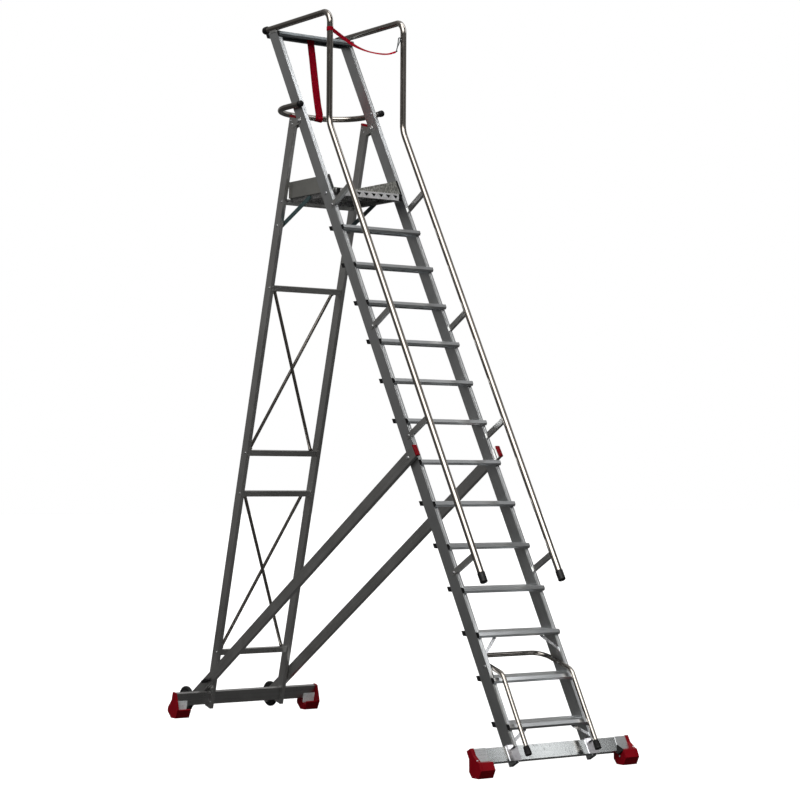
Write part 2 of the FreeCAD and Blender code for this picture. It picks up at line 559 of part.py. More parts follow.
def make_strut():
    dy, dz = STRUT_END[0] - STRUT_PIVOT[0], STRUT_END[1] - STRUT_PIVOT[1]
    ln = math.hypot(dy, dz)
    s = box(SX0, SX1, -75.0, ln + 40.0, -SW, SW)
    s = s.cut(box(SX0 + 2.2, SX1 - 2.2, -80.0, ln + 45.0, -SW + 2.2, SW - 2.2))
    cap = box(SX0 - 0.5 + 0.5, SX1 + 1.0, -87.0, -75.0, -SW - 1.0, SW + 1.0)
    cap = cap.makeFillet(3.5, [e for e in cap.Edges if abs(e.BoundBox.YMin + 87.0) < 0.01 and e.BoundBox.YLength < 0.01])
    cap = cap.fuse(box(SX0 + 2.2, SX1 - 2.2, -75.5, -58.0, -SW + 2.2, SW - 2.2)).removeSplitter()
    ang = math.degrees(math.atan2(dz, dy))
    out = []
    for q in (s, cap):
        q.rotate(V(0, 0, 0), V(1, 0, 0), ang)
        q.translate(V(0, STRUT_PIVOT[0], STRUT_PIVOT[1]))
        out.append(q)
    return out


strut_r, strut_cap_r = make_strut()

WX0, WX1, WHEEL_R = 311.0, 338.0, 84.0


def make_wheel():
    y, z = AXLE
    prof = [(WX0 + 3.0, 9.5), (WX0, 9.5), (WX0, 24.0), (WX0 + 6.0, 27.0), (WX0 + 6.0, 54.0), (WX0 + 1.5, 58.0), (WX0 + 0.5, 75.0),
            (WX0 + 4.0, 81.5), (WX0 + 9.0, WHEEL_R), (WX1 - 9.0, WHEEL_R), (WX1 - 4.0, 81.5), (WX1 - 0.5, 75.0),
            (WX1 - 1.5, 58.0), (WX1 - 6.0, 54.0), (WX1 - 6.0, 27.0), (WX1, 24.0), (WX1, 9.5), (WX0 + 3.0, 9.5)]
    prof = [(a, (8.06 if r == 9.5 else r)) for a, r in prof]
    prof = prof[1:]
    pts = [V(a, y, z + r) for a, r in prof]
    if (pts[0] - pts[-1]).Length > 1e-6:
        pts.append(pts[0])
    f = Part.Face(Part.makePolygon(pts))
    return f.revolve(V(0, y, z), V(1, 0, 0), 360)


wheel_r = make_wheel()
nodes["wheel_left"] = mirror(wheel_r)
nodes["wheel_right"] = wheel_r
ax = cyl_x(AXLE[0], AXLE[1], 8.0, SX0, 342.0)
ax = ax.fuse([cyl_x(AXLE[0], AXLE[1], 12.0, SX1, WX0 - 0.5), dome(WX1 + 0.6, AXLE[0], AXLE[1], 13.0, 6.0, 1)]).removeSplitter()
nodes["wheel_axle_left"] = mirror(ax)
nodes["wheel_axle_right"] = ax

# wing knobs that clamp the struts to the legs
ky, kz = KNOB
kn = cyl_x(ky, kz, 5.0, 283.6, 312.0)
kn = kn.fuse([cyl_x(ky, kz, 13.0, SX1 + 0.4, 326.0)]).removeSplitter()
for sgn in (-1, 1):
    w = box(314.0, 337.0, 5.0, 40.0, -9.0, 9.0)
    w = w.makeFillet(7.0, [e for e in w.Edges if e.BoundBox.XLength > 20.0 and e.BoundBox.YMin > 30.0])
    w = w.makeFillet(3.0, [e for e in w.Edges if e.BoundBox.XMin > 336.9 and e.BoundBox.YMin > 5.5 or (e.BoundBox.XMin > 336.9 and e.BoundBox.YLength > 20.0)])
    if sgn < 0:
        w.rotate(V(0, 0, 0), V(1, 0, 0), 180)
    w.rotate(V(0, 0, 0), V(1, 0, 0), -18)
    w.translate(V(0, ky, kz))
    kn = kn.fuse(w)
kn = kn.removeSplitter()
nodes["wing_knob_left"] = mirror(kn)
nodes["wing_knob_right"] = kn

# ---------------------------------------------------------------- lift handle
HX = 240.0
h0 = fpt(37.0, 112.0)
hp = [(-HX, h0[0], h0[1]), (-HX, 251.0, 517.0), (-HX, 513.0, 593.0), (HX, 513.0, 593.0), (HX, 251.0, 517.0), (HX, h0[0], h0[1])]
hr = [60.0, 80.0, 80.0, 60.0]
handle = tube(hp, hr, HANDLE_R, 1.8)
grips = []
a, b = V(*hp[-1]), V(*hp[-2])
ax_g = (a - b).normalize()
g0 = a - ax_g * 42.0
g = Part.makeCone(15.6, 19.0, 46.0, g0, ax_g).fuse(Part.makeCone(19.0, 16.0, 5.0, g0 + ax_g * 46.0, ax_g)).removeSplitter()
g = g.cut(Part.makeCylinder(HANDLE_R, 42.0, g0, ax_g))
grips = [mirror(g), g]
nodes["handle_grips"] = group(grips)

# ---------------------------------------------------------------- bolts
flight_bolts, rear_bolts = [eye_stud], []
stile_holes = []


def fb(shape):
    flight_bolts.extend([mirror(shape), shape])


def rbolt(shape):
    rear_bolts.extend([mirror(shape), shape])


brackets = nodes["handrail_brackets"]
for sb in BRACKET_S:
    y, z = fpt(-30.0, sb)
    stile_holes.append((y, z, 4.0))
    fb(cyl_x(y, z, 4.0, X_IN, X_OUT + 3.0).fuse(dome(X_OUT + 3.0, y, z, 8.0, 4.0, 1)).removeSplitter())
    brackets = drill(brackets, y, z, 4.0)
y, z = fpt(-50.0, 5028.0)
stile_holes.append((y, z, 4.0))
brackets = drill(brackets, y, z, 4.0)
fb(cyl_x(y, z, 4.0, X_IN, X_OUT).fuse([cyl_x(y, z, 4.0, X_IN - 4, X_IN)]).fuse(dome(X_IN, y, z, 8.0, 3.0, -1)).removeSplitter())
nodes["handrail_brackets"] = brackets

# mid rail bolts, with a spacer sleeve between stile and tube
y, z = fpt(-36.0, 4538.0)
z = MID_Z
y = (z - 0.0) * c60 / s60 + 36.0 / s60
stile_holes.append((y, z, 4.0))
spc = cyl_x(y, z, 10.0, X_OUT, MID_X - MID_R + 4.0).fuse(cyl_x(y, z, 4.0, X_IN, X_OUT + 5.0))
spc = spc.cut(mid_solid).fuse(dome(X_IN, y, z, 9.0, 3.5, -1)).removeSplitter()
spc = max(spc.Solids, key=lambda s: s.Volume)
fb(spc)
mid_bolt = (y, z)

# fold pivots
y, z = HINGE
stile_holes.append((y, z, 7.0))
fb(cyl_x(y, z, 7.0, X_IN - 5.6, X_OUT + 4.6).fuse([dome(X_OUT + GAP + 2.7, y, z, 13.0, 5.0, 1), dome(X_IN - GAP - 3.3, y, z, 12.0, 2.6, -1)]).removeSplitter())
hp_in = drill_r(hp_in, y, z, 7.06)
hp_out = drill_r(hp_out, y, z, 7.06)
nodes["hinge_plates"] = group([mirror(hp_in), mirror(hp_out), hp_in, hp_out])

# platform pivots
y, z = PLAT_PIVOT
stile_holes.append((y, z, 6.0))
fb(cyl_x(y, z, 6.0, PX - 6.0, X_OUT).fuse(dome(X_OUT, y, z, 11.0, 4.0, 1)).removeSplitter())
deck = drill(deck, y, z, 6.06)
nodes["platform_deck"] = deck

# strut pivots
y, z = STRUT_PIVOT
stile_holes.append((y, z, 6.0))
fb(cyl_x(y, z, 6.0, X_IN, SX1 + 0.5).fuse([dome(SX1 + 0.5, y, z, 12.0, 5.0, 1), cyl_x(y, z, 12.0, X_OUT, SX0 - 0.4)]).removeSplitter())
strut_r = drill_r(strut_r, y, z, 6.06)
strut_r = drill_r(strut_r, AXLE[0], AXLE[1], 8.0)
strut_r = drill_r(strut_r, KNOB[0], KNOB[1], 5.5)
nodes["strut_left"] = mirror(strut_r)
nodes["strut_right"] = strut_r
nodes["strut_cap_left"] = mirror(strut_cap_r)
nodes["strut_cap_right"] = strut_cap_r

# handle pivots
y, z = HANDLE_PIVOT
stile_holes.append((y, z, 6.0))
fb(cyl_x(y, z, 6.0, HX - HANDLE_R - 1.0, X_OUT).fuse(dome(X_OUT, y, z, 10.0, 3.5, 1)).removeSplitter())
nodes["lift_handle"] = drill(handle, y, z, 6.06)

# tread rivets on the outer face of each stile foot
for n_, s_ in ((-82.0, 140.0), (-82.0, 176.0)):
    y, z = fpt(n_, s_)
    stile_holes.append((y, z, 3.0))
    fb(cyl_x(y, z, 3.0, X_OUT - WALL, X_OUT).fuse(dome(X_OUT, y, z, 6.0, 2.2, 1)).removeSplitter())
for y, z, r in stile_holes:
    stile_r = drill_r(stile_r, y, z, r)
nodes["stile_left"] = mirror(stile_r)
nodes["stile_right"] = stile_r

# rear frame rivets
leg_holes = []
for v in CROSS_V:
    y, z = rpt(-12.0, v)
    leg_holes.append((y, z, 4.0))
    rbolt(cyl_x(y, z, 4.0, X_OUT - WALL, X_OUT).fuse(dome(X_OUT, y, z, 8.0, 2.2, 1)).removeSplitter())
for u_, v_ in ((-8.0, 3889.0), (16.0, 3907.0)):
    y, z = rpt(u_, v_)
    leg_holes.append((y, z, 4.0))
    rbolt(cyl_x(y, z, 4.0, X_IN - GAP - 3.0, X_OUT + GAP + 2.4).fuse([dome(X_OUT + GAP + 2.4, y, z, 8.0, 2.6, 1), dome(X_IN - GAP - 3.0, y, z, 7.0, 2.0, -1)]).removeSplitter())
    nodes["hinge_plates"] = drill(nodes["hinge_plates"], y, z, 4.0)
for v_ in (100.0, 150.0):
    y, z = rpt(-24.0, v_)
    leg_holes.append((y, z, 3.0))
    rbolt(cyl_x(y, z, 3.0, X_OUT - WALL, X_OUT).fuse(dome(X_OUT, y, z, 6.0, 2.2, 1)).removeSplitter())
y, z = STAY_LO
leg_holes.append((y, z, 5.0))
rbolt(cyl_x(y, z, 5.0, ST0 - 1.0, X_OUT).fuse([dome(X_OUT, y, z, 9.0, 2.2, 1), cyl_x(y, z, 9.0, ST1 + 0.4, X_IN), cyl_x(y, z, 8.0, ST0 - 2.2, ST0 - 0.4)]).removeSplitter())
for y, z, r in leg_holes:
    leg_r = drill_r(leg_r, y, z, r)
nodes["leg_left"] = mirror(leg_r)
nodes["leg_right"] = leg_r
# brace screws on the cross bars
for s in xb:
    pass
nodes["flight_bolts"] = group(flight_bolts)
nodes["rear_bolts"] = group(rear_bolts)

# ---------------------------------------------------------------- place and write
boxes = [s.optimalBoundingBox(True, False) for s in nodes.values()]
lo = min(b.YMin for b in boxes)
hi = max(b.YMax for b in boxes)
Y_SHIFT = -(lo + hi) / 2.0
os.makedirs("parts", exist_ok=True)
for name in sorted(nodes):
    s = nodes[name]
    sol = []
    for q in s.Solids:
        q = q.copy()
        q.translate(V(0, Y_SHIFT, 0))
        sol.append(q)
    out = sol[0] if len(sol) == 1 else Part.makeCompound(sol)
    bb = out.BoundBox
    print("%-20s solids %2d valid %s vol %10.0f  x %8.1f %8.1f  y %8.1f %8.1f  z %8.1f %8.1f" % (
        name, len(sol), out.isValid(), out.Volume, bb.XMin, bb.XMax, bb.YMin, bb.YMax, bb.ZMin, bb.ZMax))
    out.exportStep("parts/%s.step" % name)
print("nodes", len(nodes), "Y_SHIFT", Y_SHIFT, "lo", lo, "hi", hi)
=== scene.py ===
import math

import bmesh
import bpy
from mathutils import Matrix, Vector


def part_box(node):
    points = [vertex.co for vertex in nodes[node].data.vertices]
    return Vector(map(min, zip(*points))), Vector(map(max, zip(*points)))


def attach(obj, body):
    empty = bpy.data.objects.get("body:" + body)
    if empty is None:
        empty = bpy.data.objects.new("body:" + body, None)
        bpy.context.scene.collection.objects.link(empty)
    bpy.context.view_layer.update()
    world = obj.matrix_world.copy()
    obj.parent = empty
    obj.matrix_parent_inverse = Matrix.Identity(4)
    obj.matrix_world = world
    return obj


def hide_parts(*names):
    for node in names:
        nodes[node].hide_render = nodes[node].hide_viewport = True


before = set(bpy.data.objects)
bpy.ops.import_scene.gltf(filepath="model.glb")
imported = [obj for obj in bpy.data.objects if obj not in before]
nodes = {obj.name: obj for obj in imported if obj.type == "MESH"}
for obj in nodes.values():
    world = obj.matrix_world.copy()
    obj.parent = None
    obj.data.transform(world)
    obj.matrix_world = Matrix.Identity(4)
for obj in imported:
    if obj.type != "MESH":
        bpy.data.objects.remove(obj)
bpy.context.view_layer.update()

# ------------------------------------------------------------------ places
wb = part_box("wheel_right")
YS = (wb[0].y + wb[1].y) / 2 - 3.538          # where the row's origin lies along the stand
c60, s60 = 0.5, math.sin(math.radians(60))
LEAN = math.radians(14.8)


def P(x, y, z):
    """Millimetres measured from the foot of the flight, to metres in the row frame."""
    return Vector((x / 1000, y / 1000 + YS, z / 1000))


def PF(x, n, s):
    return P(x, c60 * s - s60 * n, s60 * s + c60 * n)


def PR(x, u, v):
    return P(x, 3351 + u * math.cos(LEAN) - v * math.sin(LEAN), u * math.sin(LEAN) + v * math.cos(LEAN))


# ------------------------------------------------------------------ camera
cam_data = bpy.data.cameras.new("camera")
cam_data.sensor_width = 36.0
cam_data.lens = 2117.6 / 800 * 36.0
cam_data.clip_start, cam_data.clip_end = 0.1, 200
cam = bpy.data.objects.new("camera", cam_data)
bpy.context.scene.collection.objects.link(cam)
yaw, pitch, roll = math.radians(35.095), math.radians(2.002), math.radians(0.347)
F = Vector((math.sin(yaw) * math.cos(pitch), math.cos(yaw) * math.cos(pitch), math.sin(pitch)))
R = Vector((math.cos(yaw), -math.sin(yaw), 0))
U = R.cross(F)
R2 = R * math.cos(roll) + U * math.sin(roll)
U2 = -R * math.sin(roll) + U * math.cos(roll)
M = Matrix(((R2.x, U2.x, -F.x), (R2.y, U2.y, -F.y), (R2.z, U2.z, -F.z))).to_4x4()
M.translation = P(-7261.59, -8769.08, 1585.9)
cam.matrix_world = M
bpy.context.scene.camera = cam


# ------------------------------------------------------------------ node helpers
class G:
    """A small node-graph writer."""

    def __init__(self, name, world=False):
        if world:
            self.mat = bpy.data.worlds.new(name)
        else:
            self.mat = bpy.data.materials.new(name)
        self.mat.use_nodes = True
        self.t = self.mat.node_tree
        self.t.nodes.clear()

    def n(self, kind, **kw):
        node = self.t.nodes.new(kind)
        for k, v in kw.items():
            if k.startswith("in_"):
                key = k[3:]
                key = int(key) if key.isdigit() else key.replace("_", " ")
                node.inputs[key].default_value = v
            else:
                setattr(node, k, v)
        return node

    def l(self, a, ao, b, bi):
        self.t.links.new(a.outputs[ao], b.inputs[bi])

    def math(self, op, a, b=None, clamp=False):
        m = self.n("ShaderNodeMath", operation=op, use_clamp=clamp)
        for i, v in enumerate((a, b)):
            if v is None:
                continue
            if isinstance(v, tuple):
                self.l(v[0], v[1], m, i)
            else:
                m.inputs[i].default_value = v
        return m

    def ramp(self, src, out, lo, hi, a=0.0, b=1.0, smooth=False):
        m = self.n("ShaderNodeMapRange", interpolation_type="SMOOTHSTEP" if smooth else "LINEAR")
        self.l(src, out, m, 0)
        for i, v in enumerate((lo, hi, a, b)):
            m.inputs[i + 1].default_value = v
        return m

    def mix(self, fac, a, b, blend="MIX"):
        m = self.n("ShaderNodeMix", data_type="RGBA", blend_type=blend)
        if isinstance(fac, tuple):
            self.l(fac[0], fac[1], m, 0)
        else:
            m.inputs[0].default_value = fac
        for idx, v in ((6, a), (7, b)):
            if isinstance(v, tuple) and not isinstance(v[0], (int, float)):
                self.l(v[0], v[1], m, idx)
            else:
                m.inputs[idx].default_value = (*v, 1.0)
        return m


def principled(g, **kw):
    b = g.n("ShaderNodeBsdfPrincipled")
    for k, v in kw.items():
        key = k.replace("_", " ")
        b.inputs[key].default_value = (*v, 1.0) if isinstance(v, tuple) else v
    o = g.n("ShaderNodeOutputMaterial")
    g.l(b, "BSDF", o, "Surface")
    return b


def noise(g, vec, scale, detail=3.0, rough=0.55, dist=0.0):
    n = g.n("ShaderNodeTexNoise")
    n.inputs["Scale"].default_value = scale
    n.inputs["Detail"].default_value = detail
    n.inputs["Roughness"].default_value = rough
    n.inputs["Distortion"].default_value = dist
    g.l(vec[0], vec[1], n, "Vector")
    return n


def lined(g, rot, scale):
    """Object coordinates turned so that the extrusion runs along one axis, then stretched along it."""
    tc = g.n("ShaderNodeTexCoord")
    m1 = g.n("ShaderNodeMapping")
    m1.inputs["Rotation"].default_value = (math.radians(rot), 0, 0)
    g.l(tc, "Object", m1, "Vector")
    m2 = g.n("ShaderNodeMapping")
    m2.inputs["Scale"].default_value = scale
    g.l(m1, 0, m2, 0)
    return tc, m1, m2


def aluminium(name, rot=0.0, along="z", base=(0.56, 0.56, 0.55), rough=0.33, seed=0.0, grain=1.0):
    """Extruded mill-finish aluminium: die lines along the length, soft blotches, handling marks."""
    g = G(name)
    fine = (900, 900, 5) if along == "z" else (5, 900, 900)
    wide = (60, 60, 0.9) if along == "z" else (0.9, 60, 60)
    tc, m1, m2 = lined(g, rot, fine)
    m3 = g.n("ShaderNodeMapping")
    m3.inputs["Scale"].default_value = wide
    m3.inputs["Location"].default_value = (seed, seed * 1.7, seed * 0.3)
    g.l(m1, 0, m3, 0)
    die = noise(g, (m2, 0), 1.0, 3.0, 0.6)
    band = noise(g, (m3, 0), 1.0, 2.0, 0.5)
    blot = noise(g, (tc, "Object"), 3.3, 4.0, 0.6, 0.4)
    smut = noise(g, (tc, "Object"), 38.0, 5.0, 0.62, 0.2)
    speck = noise(g, (tc, "Object"), 420.0, 2.0, 0.5)
    k1 = g.ramp(die, 0, 0.3, 0.7, -0.5, 0.5)
    k2 = g.ramp(band, 0, 0.32, 0.68, -0.5, 0.5)
    k3 = g.ramp(blot, 0, 0.35, 0.68, -0.5, 0.5)
    k4 = g.ramp(smut, 0, 0.56, 0.75, 0.0, 1.0)
    a = g.math("MULTIPLY", (k1, 0), 0.10 * grain)
    b = g.math("MULTIPLY_ADD", (k2, 0), 0.12 * grain)
    g.l(a, 0, b, 2)
    c = g.math("MULTIPLY_ADD", (k3, 0), 0.16)
    g.l(b, 0, c, 2)
    shade = g.math("ADD", (c, 0), 1.0)
    dirt = g.math("MULTIPLY", (k4, 0), -0.14 * grain)
    shade2 = g.math("ADD", (shade, 0), (dirt, 0))
    comb = g.n("ShaderNodeCombineColor")
    for i, v in enumerate(base):
        mm = g.math("MULTIPLY", (shade2, 0), v)
        g.l(mm, 0, comb, i)
    bs = principled(g, Metallic=1.0)
    g.l(comb, 0, bs, "Base Color")
    r1 = g.math("MULTIPLY_ADD", (k1, 0), 0.10 * grain)
    r1.inputs[2].default_value = rough
    r2 = g.math("MULTIPLY_ADD", (k4, 0), 0.14 * grain)
    g.l(r1, 0, r2, 2)
    r3 = g.math("MULTIPLY_ADD", (k3, 0), 0.06 * grain)
    g.l(r2, 0, r3, 2)
    g.l(r3, 0, bs, "Roughness")
    h = g.math("ADD", (die, 0), (speck, 0))
    bump = g.n("ShaderNodeBump", in_Strength=0.16 * grain, in_Distance=0.00025)
    g.l(h, 0, bump, "Height")
    bev = g.n("ShaderNodeBevel", samples=4)
    bev.inputs["Radius"].default_value = 0.0012
    g.l(bev, 0, bump, "Normal")
    g.l(bump, 0, bs, "Normal")
    return g.mat


def polished(name, base=(0.63, 0.615, 0.59), rough=0.13):
    """Polished stainless tube with faint polishing rings and finger marks."""
    g = G(name)
    tc = g.n("ShaderNodeTexCoord")
    sm = noise(g, (tc, "Object"), 14.0, 5.0, 0.6, 0.6)
    fi = noise(g, (tc, "Object"), 900.0, 2.0, 0.5)
    big = noise(g, (tc, "Object"), 2.2, 3.0, 0.5)
    k = g.ramp(sm, 0, 0.45, 0.72, 0.0, 1.0)
    kb = g.ramp(big, 0, 0.35, 0.65, 0.9, 1.06)
    comb = g.n("ShaderNodeCombineColor")
    for i, v in enumerate(base):
        mm = g.math("MULTIPLY", (kb, 0), v)
        g.l(mm, 0, comb, i)
    bs = principled(g, Metallic=1.0)
    g.l(comb, 0, bs, "Base Color")
    r = g.math("MULTIPLY_ADD", (k, 0), 0.10)
    r.inputs[2].default_value = rough
    g.l(r, 0, bs, "Roughness")
    bump = g.n("ShaderNodeBump", in_Strength=0.05, in_Distance=0.0002)
    g.l(fi, 0, bump, "Height")
    g.l(bump, 0, bs, "Normal")
    return g.mat


def steel(name, base, rough=0.35, metallic=1.0, bump_s=0.12):
    g = G(name)
    tc = g.n("ShaderNodeTexCoord")
    a = noise(g, (tc, "Object"), 60.0, 4.0, 0.6, 0.3)
    b = noise(g, (tc, "Object"), 700.0, 2.0, 0.5)
    k = g.ramp(a, 0, 0.3, 0.7, 0.78, 1.15)
    comb = g.n("ShaderNodeCombineColor")
    for i, v in enumerate(base):
        mm = g.math("MULTIPLY", (k, 0), v)
        g.l(mm, 0, comb, i)
    bs = principled(g, Metallic=metallic)
    g.l(comb, 0, bs, "Base Color")
    r = g.ramp(a, 0, 0.3, 0.7, rough - 0.08, rough + 0.1)
    g.l(r, 0, bs, "Roughness")
    bump = g.n("ShaderNodeBump", in_Strength=bump_s, in_Distance=0.0003)
    g.l(b, 0, bump, "Height")
    bev = g.n("ShaderNodeBevel", samples=4)
    bev.inputs["Radius"].default_value = 0.0008
    g.l(bev, 0, bump, "Normal")
    g.l(bump, 0, bs, "Normal")
    return g.mat


def plastic(name, base, rough=0.4, grain=0.25, spec=0.5, wear=(0.25, 0.25, 0.25), wear_amt=0.25, bevel=0.0015):
    """Moulded plastic or rubber: fine spark-eroded grain, scuffs, a little dust."""
    g = G(name)
    tc = g.n("ShaderNodeTexCoord")
    gr = noise(g, (tc, "Object"), 1600.0, 2.0, 0.5)
    gr2 = noise(g, (tc, "Object"), 420.0, 2.0, 0.6)
    sc = noise(g, (tc, "Object"), 55.0, 6.0, 0.7, 1.2)
    bl = noise(g, (tc, "Object"), 9.0, 3.0, 0.5)
    kw = g.ramp(sc, 0, 0.60, 0.78, 0.0, wear_amt)
    kb = g.ramp(bl, 0, 0.3, 0.7, 0.86, 1.12)
    comb = g.n("ShaderNodeCombineColor")
    for i, v in enumerate(base):
        mm = g.math("MULTIPLY", (kb, 0), v)
        g.l(mm, 0, comb, i)
    mixed = g.mix((kw, 0), (comb, 0), wear)
    bs = principled(g, Metallic=0.0)
    bs.inputs["Specular IOR Level"].default_value = spec
    g.l(mixed, 2, bs, "Base Color")
    r = g.ramp(sc, 0, 0.35, 0.75, rough - 0.06, rough + 0.16)
    g.l(r, 0, bs, "Roughness")
    h = g.math("MULTIPLY_ADD", (gr2, 0), 0.6)
    g.l(gr, 0, h, 2)
    bump = g.n("ShaderNodeBump", in_Strength=grain, in_Distance=0.0003)
    g.l(h, 0, bump, "Height")
    bev = g.n("ShaderNodeBevel", samples=4)
    bev.inputs["Radius"].default_value = bevel
    g.l(bev, 0, bump, "Normal")
    g.l(bump, 0, bs, "Normal")
    return g.mat


def webbing(name, base=(0.42, 0.0008, 0.012)):
    """Woven webbing: UV x runs along the strap in metres, UV y across it."""
    g = G(name)
    uv = g.n("ShaderNodeUVMap")
    sep = g.n("ShaderNodeSeparateXYZ")
    g.l(uv, 0, sep, 0)
    # herringbone: ribs lean one way on half of the ribs across, the other way on the rest
    across = g.math("MULTIPLY", (sep, "Y"), 1.0 / 0.0022)
    rib = g.math("FRACT", (across, 0))
    ribc = g.math("SUBTRACT", (rib, 0), 0.5)
    riba = g.math("ABSOLUTE", (ribc, 0))
    ribh = g.math("MULTIPLY", (riba, 0), -2.0)
    ribh = g.math("ADD", (ribh, 0), 1.0)
    par = g.math("MULTIPLY", (across, 0), 0.5)
    parf = g.math("FRACT", (par, 0))
    side = g.math("GREATER_THAN", (parf, 0), 0.5)
    sgn = g.math("MULTIPLY_ADD", (side, 0), 2.0)
    sgn.inputs[2].default_value = -1.0
    lean = g.math("MULTIPLY", (rib, 0), (sgn, 0))
    leans = g.math("MULTIPLY", (lean, 0), 0.9)
    alongv = g.math("MULTIPLY", (sep, "X"), 1.0 / 0.0018)
    al = g.math("ADD", (alongv, 0), (leans, 0))
    alf = g.math("FRACT", (al, 0))
    alc = g.math("SUBTRACT", (alf, 0), 0.5)
    ala = g.math("ABSOLUTE", (alc, 0))
    alh = g.math("MULTIPLY_ADD", (ala, 0), -2.0)
    alh.inputs[2].default_value = 1.0
    h = g.math("MULTIPLY", (ribh, 0), (alh, 0))
    tc = g.n("ShaderNodeTexCoord")
    fz = noise(g, (tc, "Object"), 900.0, 3.0, 0.6)
    bl = noise(g, (tc, "Object"), 12.0, 4.0, 0.6)
    kb = g.ramp(bl, 0, 0.3, 0.7, 0.82, 1.15)
    kh = g.ramp(h, 0, 0.0, 0.7, 0.62, 1.1)
    kk = g.math("MULTIPLY", (kb, 0), (kh, 0))
    comb = g.n("ShaderNodeCombineColor")
    for i, v in enumerate(base):
        mm = g.math("MULTIPLY", (kk, 0), v)
        g.l(mm, 0, comb, i)
    bs = principled(g, Metallic=0.0)
    bs.inputs["Sheen Weight"].default_value = 0.015
    bs.inputs["Sheen Roughness"].default_value = 0.4
    bs.inputs["Specular IOR Level"].default_value = 0.05
    g.l(comb, 0, bs, "Base Color")
    r = g.ramp(fz, 0, 0.3, 0.7, 0.62, 0.85)
    g.l(r, 0, bs, "Roughness")
    hh = g.math("MULTIPLY_ADD", (fz, 0), 0.35)
    g.l(h, 0, hh, 2)
    bump = g.n("ShaderNodeBump", in_Strength=0.55, in_Distance=0.0006)
    g.l(hh, 0, bump, "Height")
    g.l(bump, 0, bs, "Normal")
    return g.mat


def embossed(name, base=(0.56, 0.56, 0.56), rough=0.34, inner_only=False, cell=120.0):
    """Stucco-embossed aluminium sheet. With inner_only the faces turned away from the middle of the stand are left smooth."""
    g = G(name)
    tc = g.n("ShaderNodeTexCoord")
    st = g.n("ShaderNodeTexVoronoi", feature="SMOOTH_F1")
    st.inputs["Scale"].default_value = cell
    st.inputs["Smoothness"].default_value = 0.6
    st.inputs["Randomness"].default_value = 1.0
    g.l(tc, "Object", st, "Vector")
    wob = noise(g, (tc, "Object"), 210.0, 3.0, 0.6, 0.6)
    blot = noise(g, (tc, "Object"), 5.0, 4.0, 0.6, 0.4)
    hh = g.math("MULTIPLY_ADD", (wob, 0), 0.7)
    g.l(st, "Distance", hh, 2)
    k = g.ramp(hh, 0, 0.45, 1.0, 1.25, 0.5)
    kb = g.ramp(blot, 0, 0.35, 0.68, 0.92, 1.08)
    if inner_only:
        sp = g.n("ShaderNodeSeparateXYZ")
        g.l(tc, "Object", sp, 0)
        sn = g.n("ShaderNodeSeparateXYZ")
        g.l(tc, "Normal", sn, 0)
        pr = g.math("MULTIPLY", (sp, "X"), (sn, "X"))
        mask = g.ramp(pr, 0, -0.02, -0.10, 0.0, 1.0)
        k = g.math("MULTIPLY", (k, 0), 1.75)
        one = g.math("SUBTRACT", (k, 0), 1.0)
        k = g.math("MULTIPLY_ADD", (one, 0), (mask, 0))
        k.inputs[2].default_value = 1.0
        hh = g.math("MULTIPLY", (hh, 0), (mask, 0))
    kk = g.math("MULTIPLY", (k, 0), (kb, 0))
    comb = g.n("ShaderNodeCombineColor")
    for i, v in enumerate(base):
        mm = g.math("MULTIPLY", (kk, 0), v)
        g.l(mm, 0, comb, i)
    bs = principled(g, Metallic=1.0)
    g.l(comb, 0, bs, "Base Color")
    r = g.ramp(wob, 0, 0.3, 0.7, rough - 0.06, rough + 0.10)
    g.l(r, 0, bs, "Roughness")
    bump = g.n("ShaderNodeBump", in_Strength=0.9, in_Distance=0.0022)
    g.l(hh, 0, bump, "Height")
    g.l(bump, 0, bs, "Normal")
    return g.mat


# ------------------------------------------------------------------ materials
M_STILE = aluminium("alu_stile", 30, "z", base=(0.55, 0.562, 0.57), seed=1.0, grain=0.3)
M_LEG = aluminium("alu_leg", -14.8, "z", seed=4.0)
M_STRUT = aluminium("alu_strut", 122.8, "z", seed=7.0)
M_CROSS = aluminium("alu_across", 0, "x", rough=0.30, seed=2.0)
M_TREAD = aluminium("alu_tread", 0, "x", rough=0.30, base=(0.585, 0.605, 0.62), seed=9.0, grain=0.2)
M_PLATE = aluminium("alu_plate", 0, "x", rough=0.36, seed=3.0)
M_EMB = embossed("alu_embossed_deck")
M_EMB_IN = embossed("alu_embossed_toe_board", (0.50, 0.50, 0.475), 0.38, True, 75.0)
M_NOSE = steel("nose_strip_zinc", (0.78, 0.78, 0.79), 0.45, 0.45, 0.10)
# painted shade: a flat black put where there is only shade, inside the nose strip's holes and in the gap at the right
# front foot
M_PAINTED_SHADE = plastic("shadow_black", (0.010, 0.010, 0.010), 0.7, 0.2, 0.12, (0.05, 0.05, 0.05), 0.2)
M_HOOK = steel("hook_zinc", (0.028, 0.042, 0.048), 0.45, 0.40)
M_BAR = aluminium("alu_base_bar", 0, "x", rough=0.20, base=(0.585, 0.61, 0.615), seed=12.0, grain=0.7)
M_REAR = aluminium("alu_rear_bar", 0, "x", rough=0.30, base=(0.44, 0.44, 0.44), seed=15.0, grain=0.7)
M_RPLATE = steel("rear_plate_grey", (0.78, 0.83, 0.84), 0.62, 0.10)
M_XBAR = steel("crossbar_satin", (0.30, 0.33, 0.345), 0.42, 0.75, 0.03)
M_SADDLE = aluminium("alu_saddle", 30, "z", rough=0.36, base=(0.66, 0.65, 0.68), seed=13.0)
M_BRKT = aluminium("alu_bracket", 30, "z", rough=0.36, seed=5.0)
M_SLEEVE = aluminium("alu_sleeve", 0, "x", rough=0.30, base=(0.66, 0.67, 0.68), seed=6.0)
M_TUBE = polished("stainless_polished", (0.33, 0.305, 0.28), 0.09)
M_DARK = steel("steel_dark", (0.060, 0.105, 0.112), 0.45, 0.45)
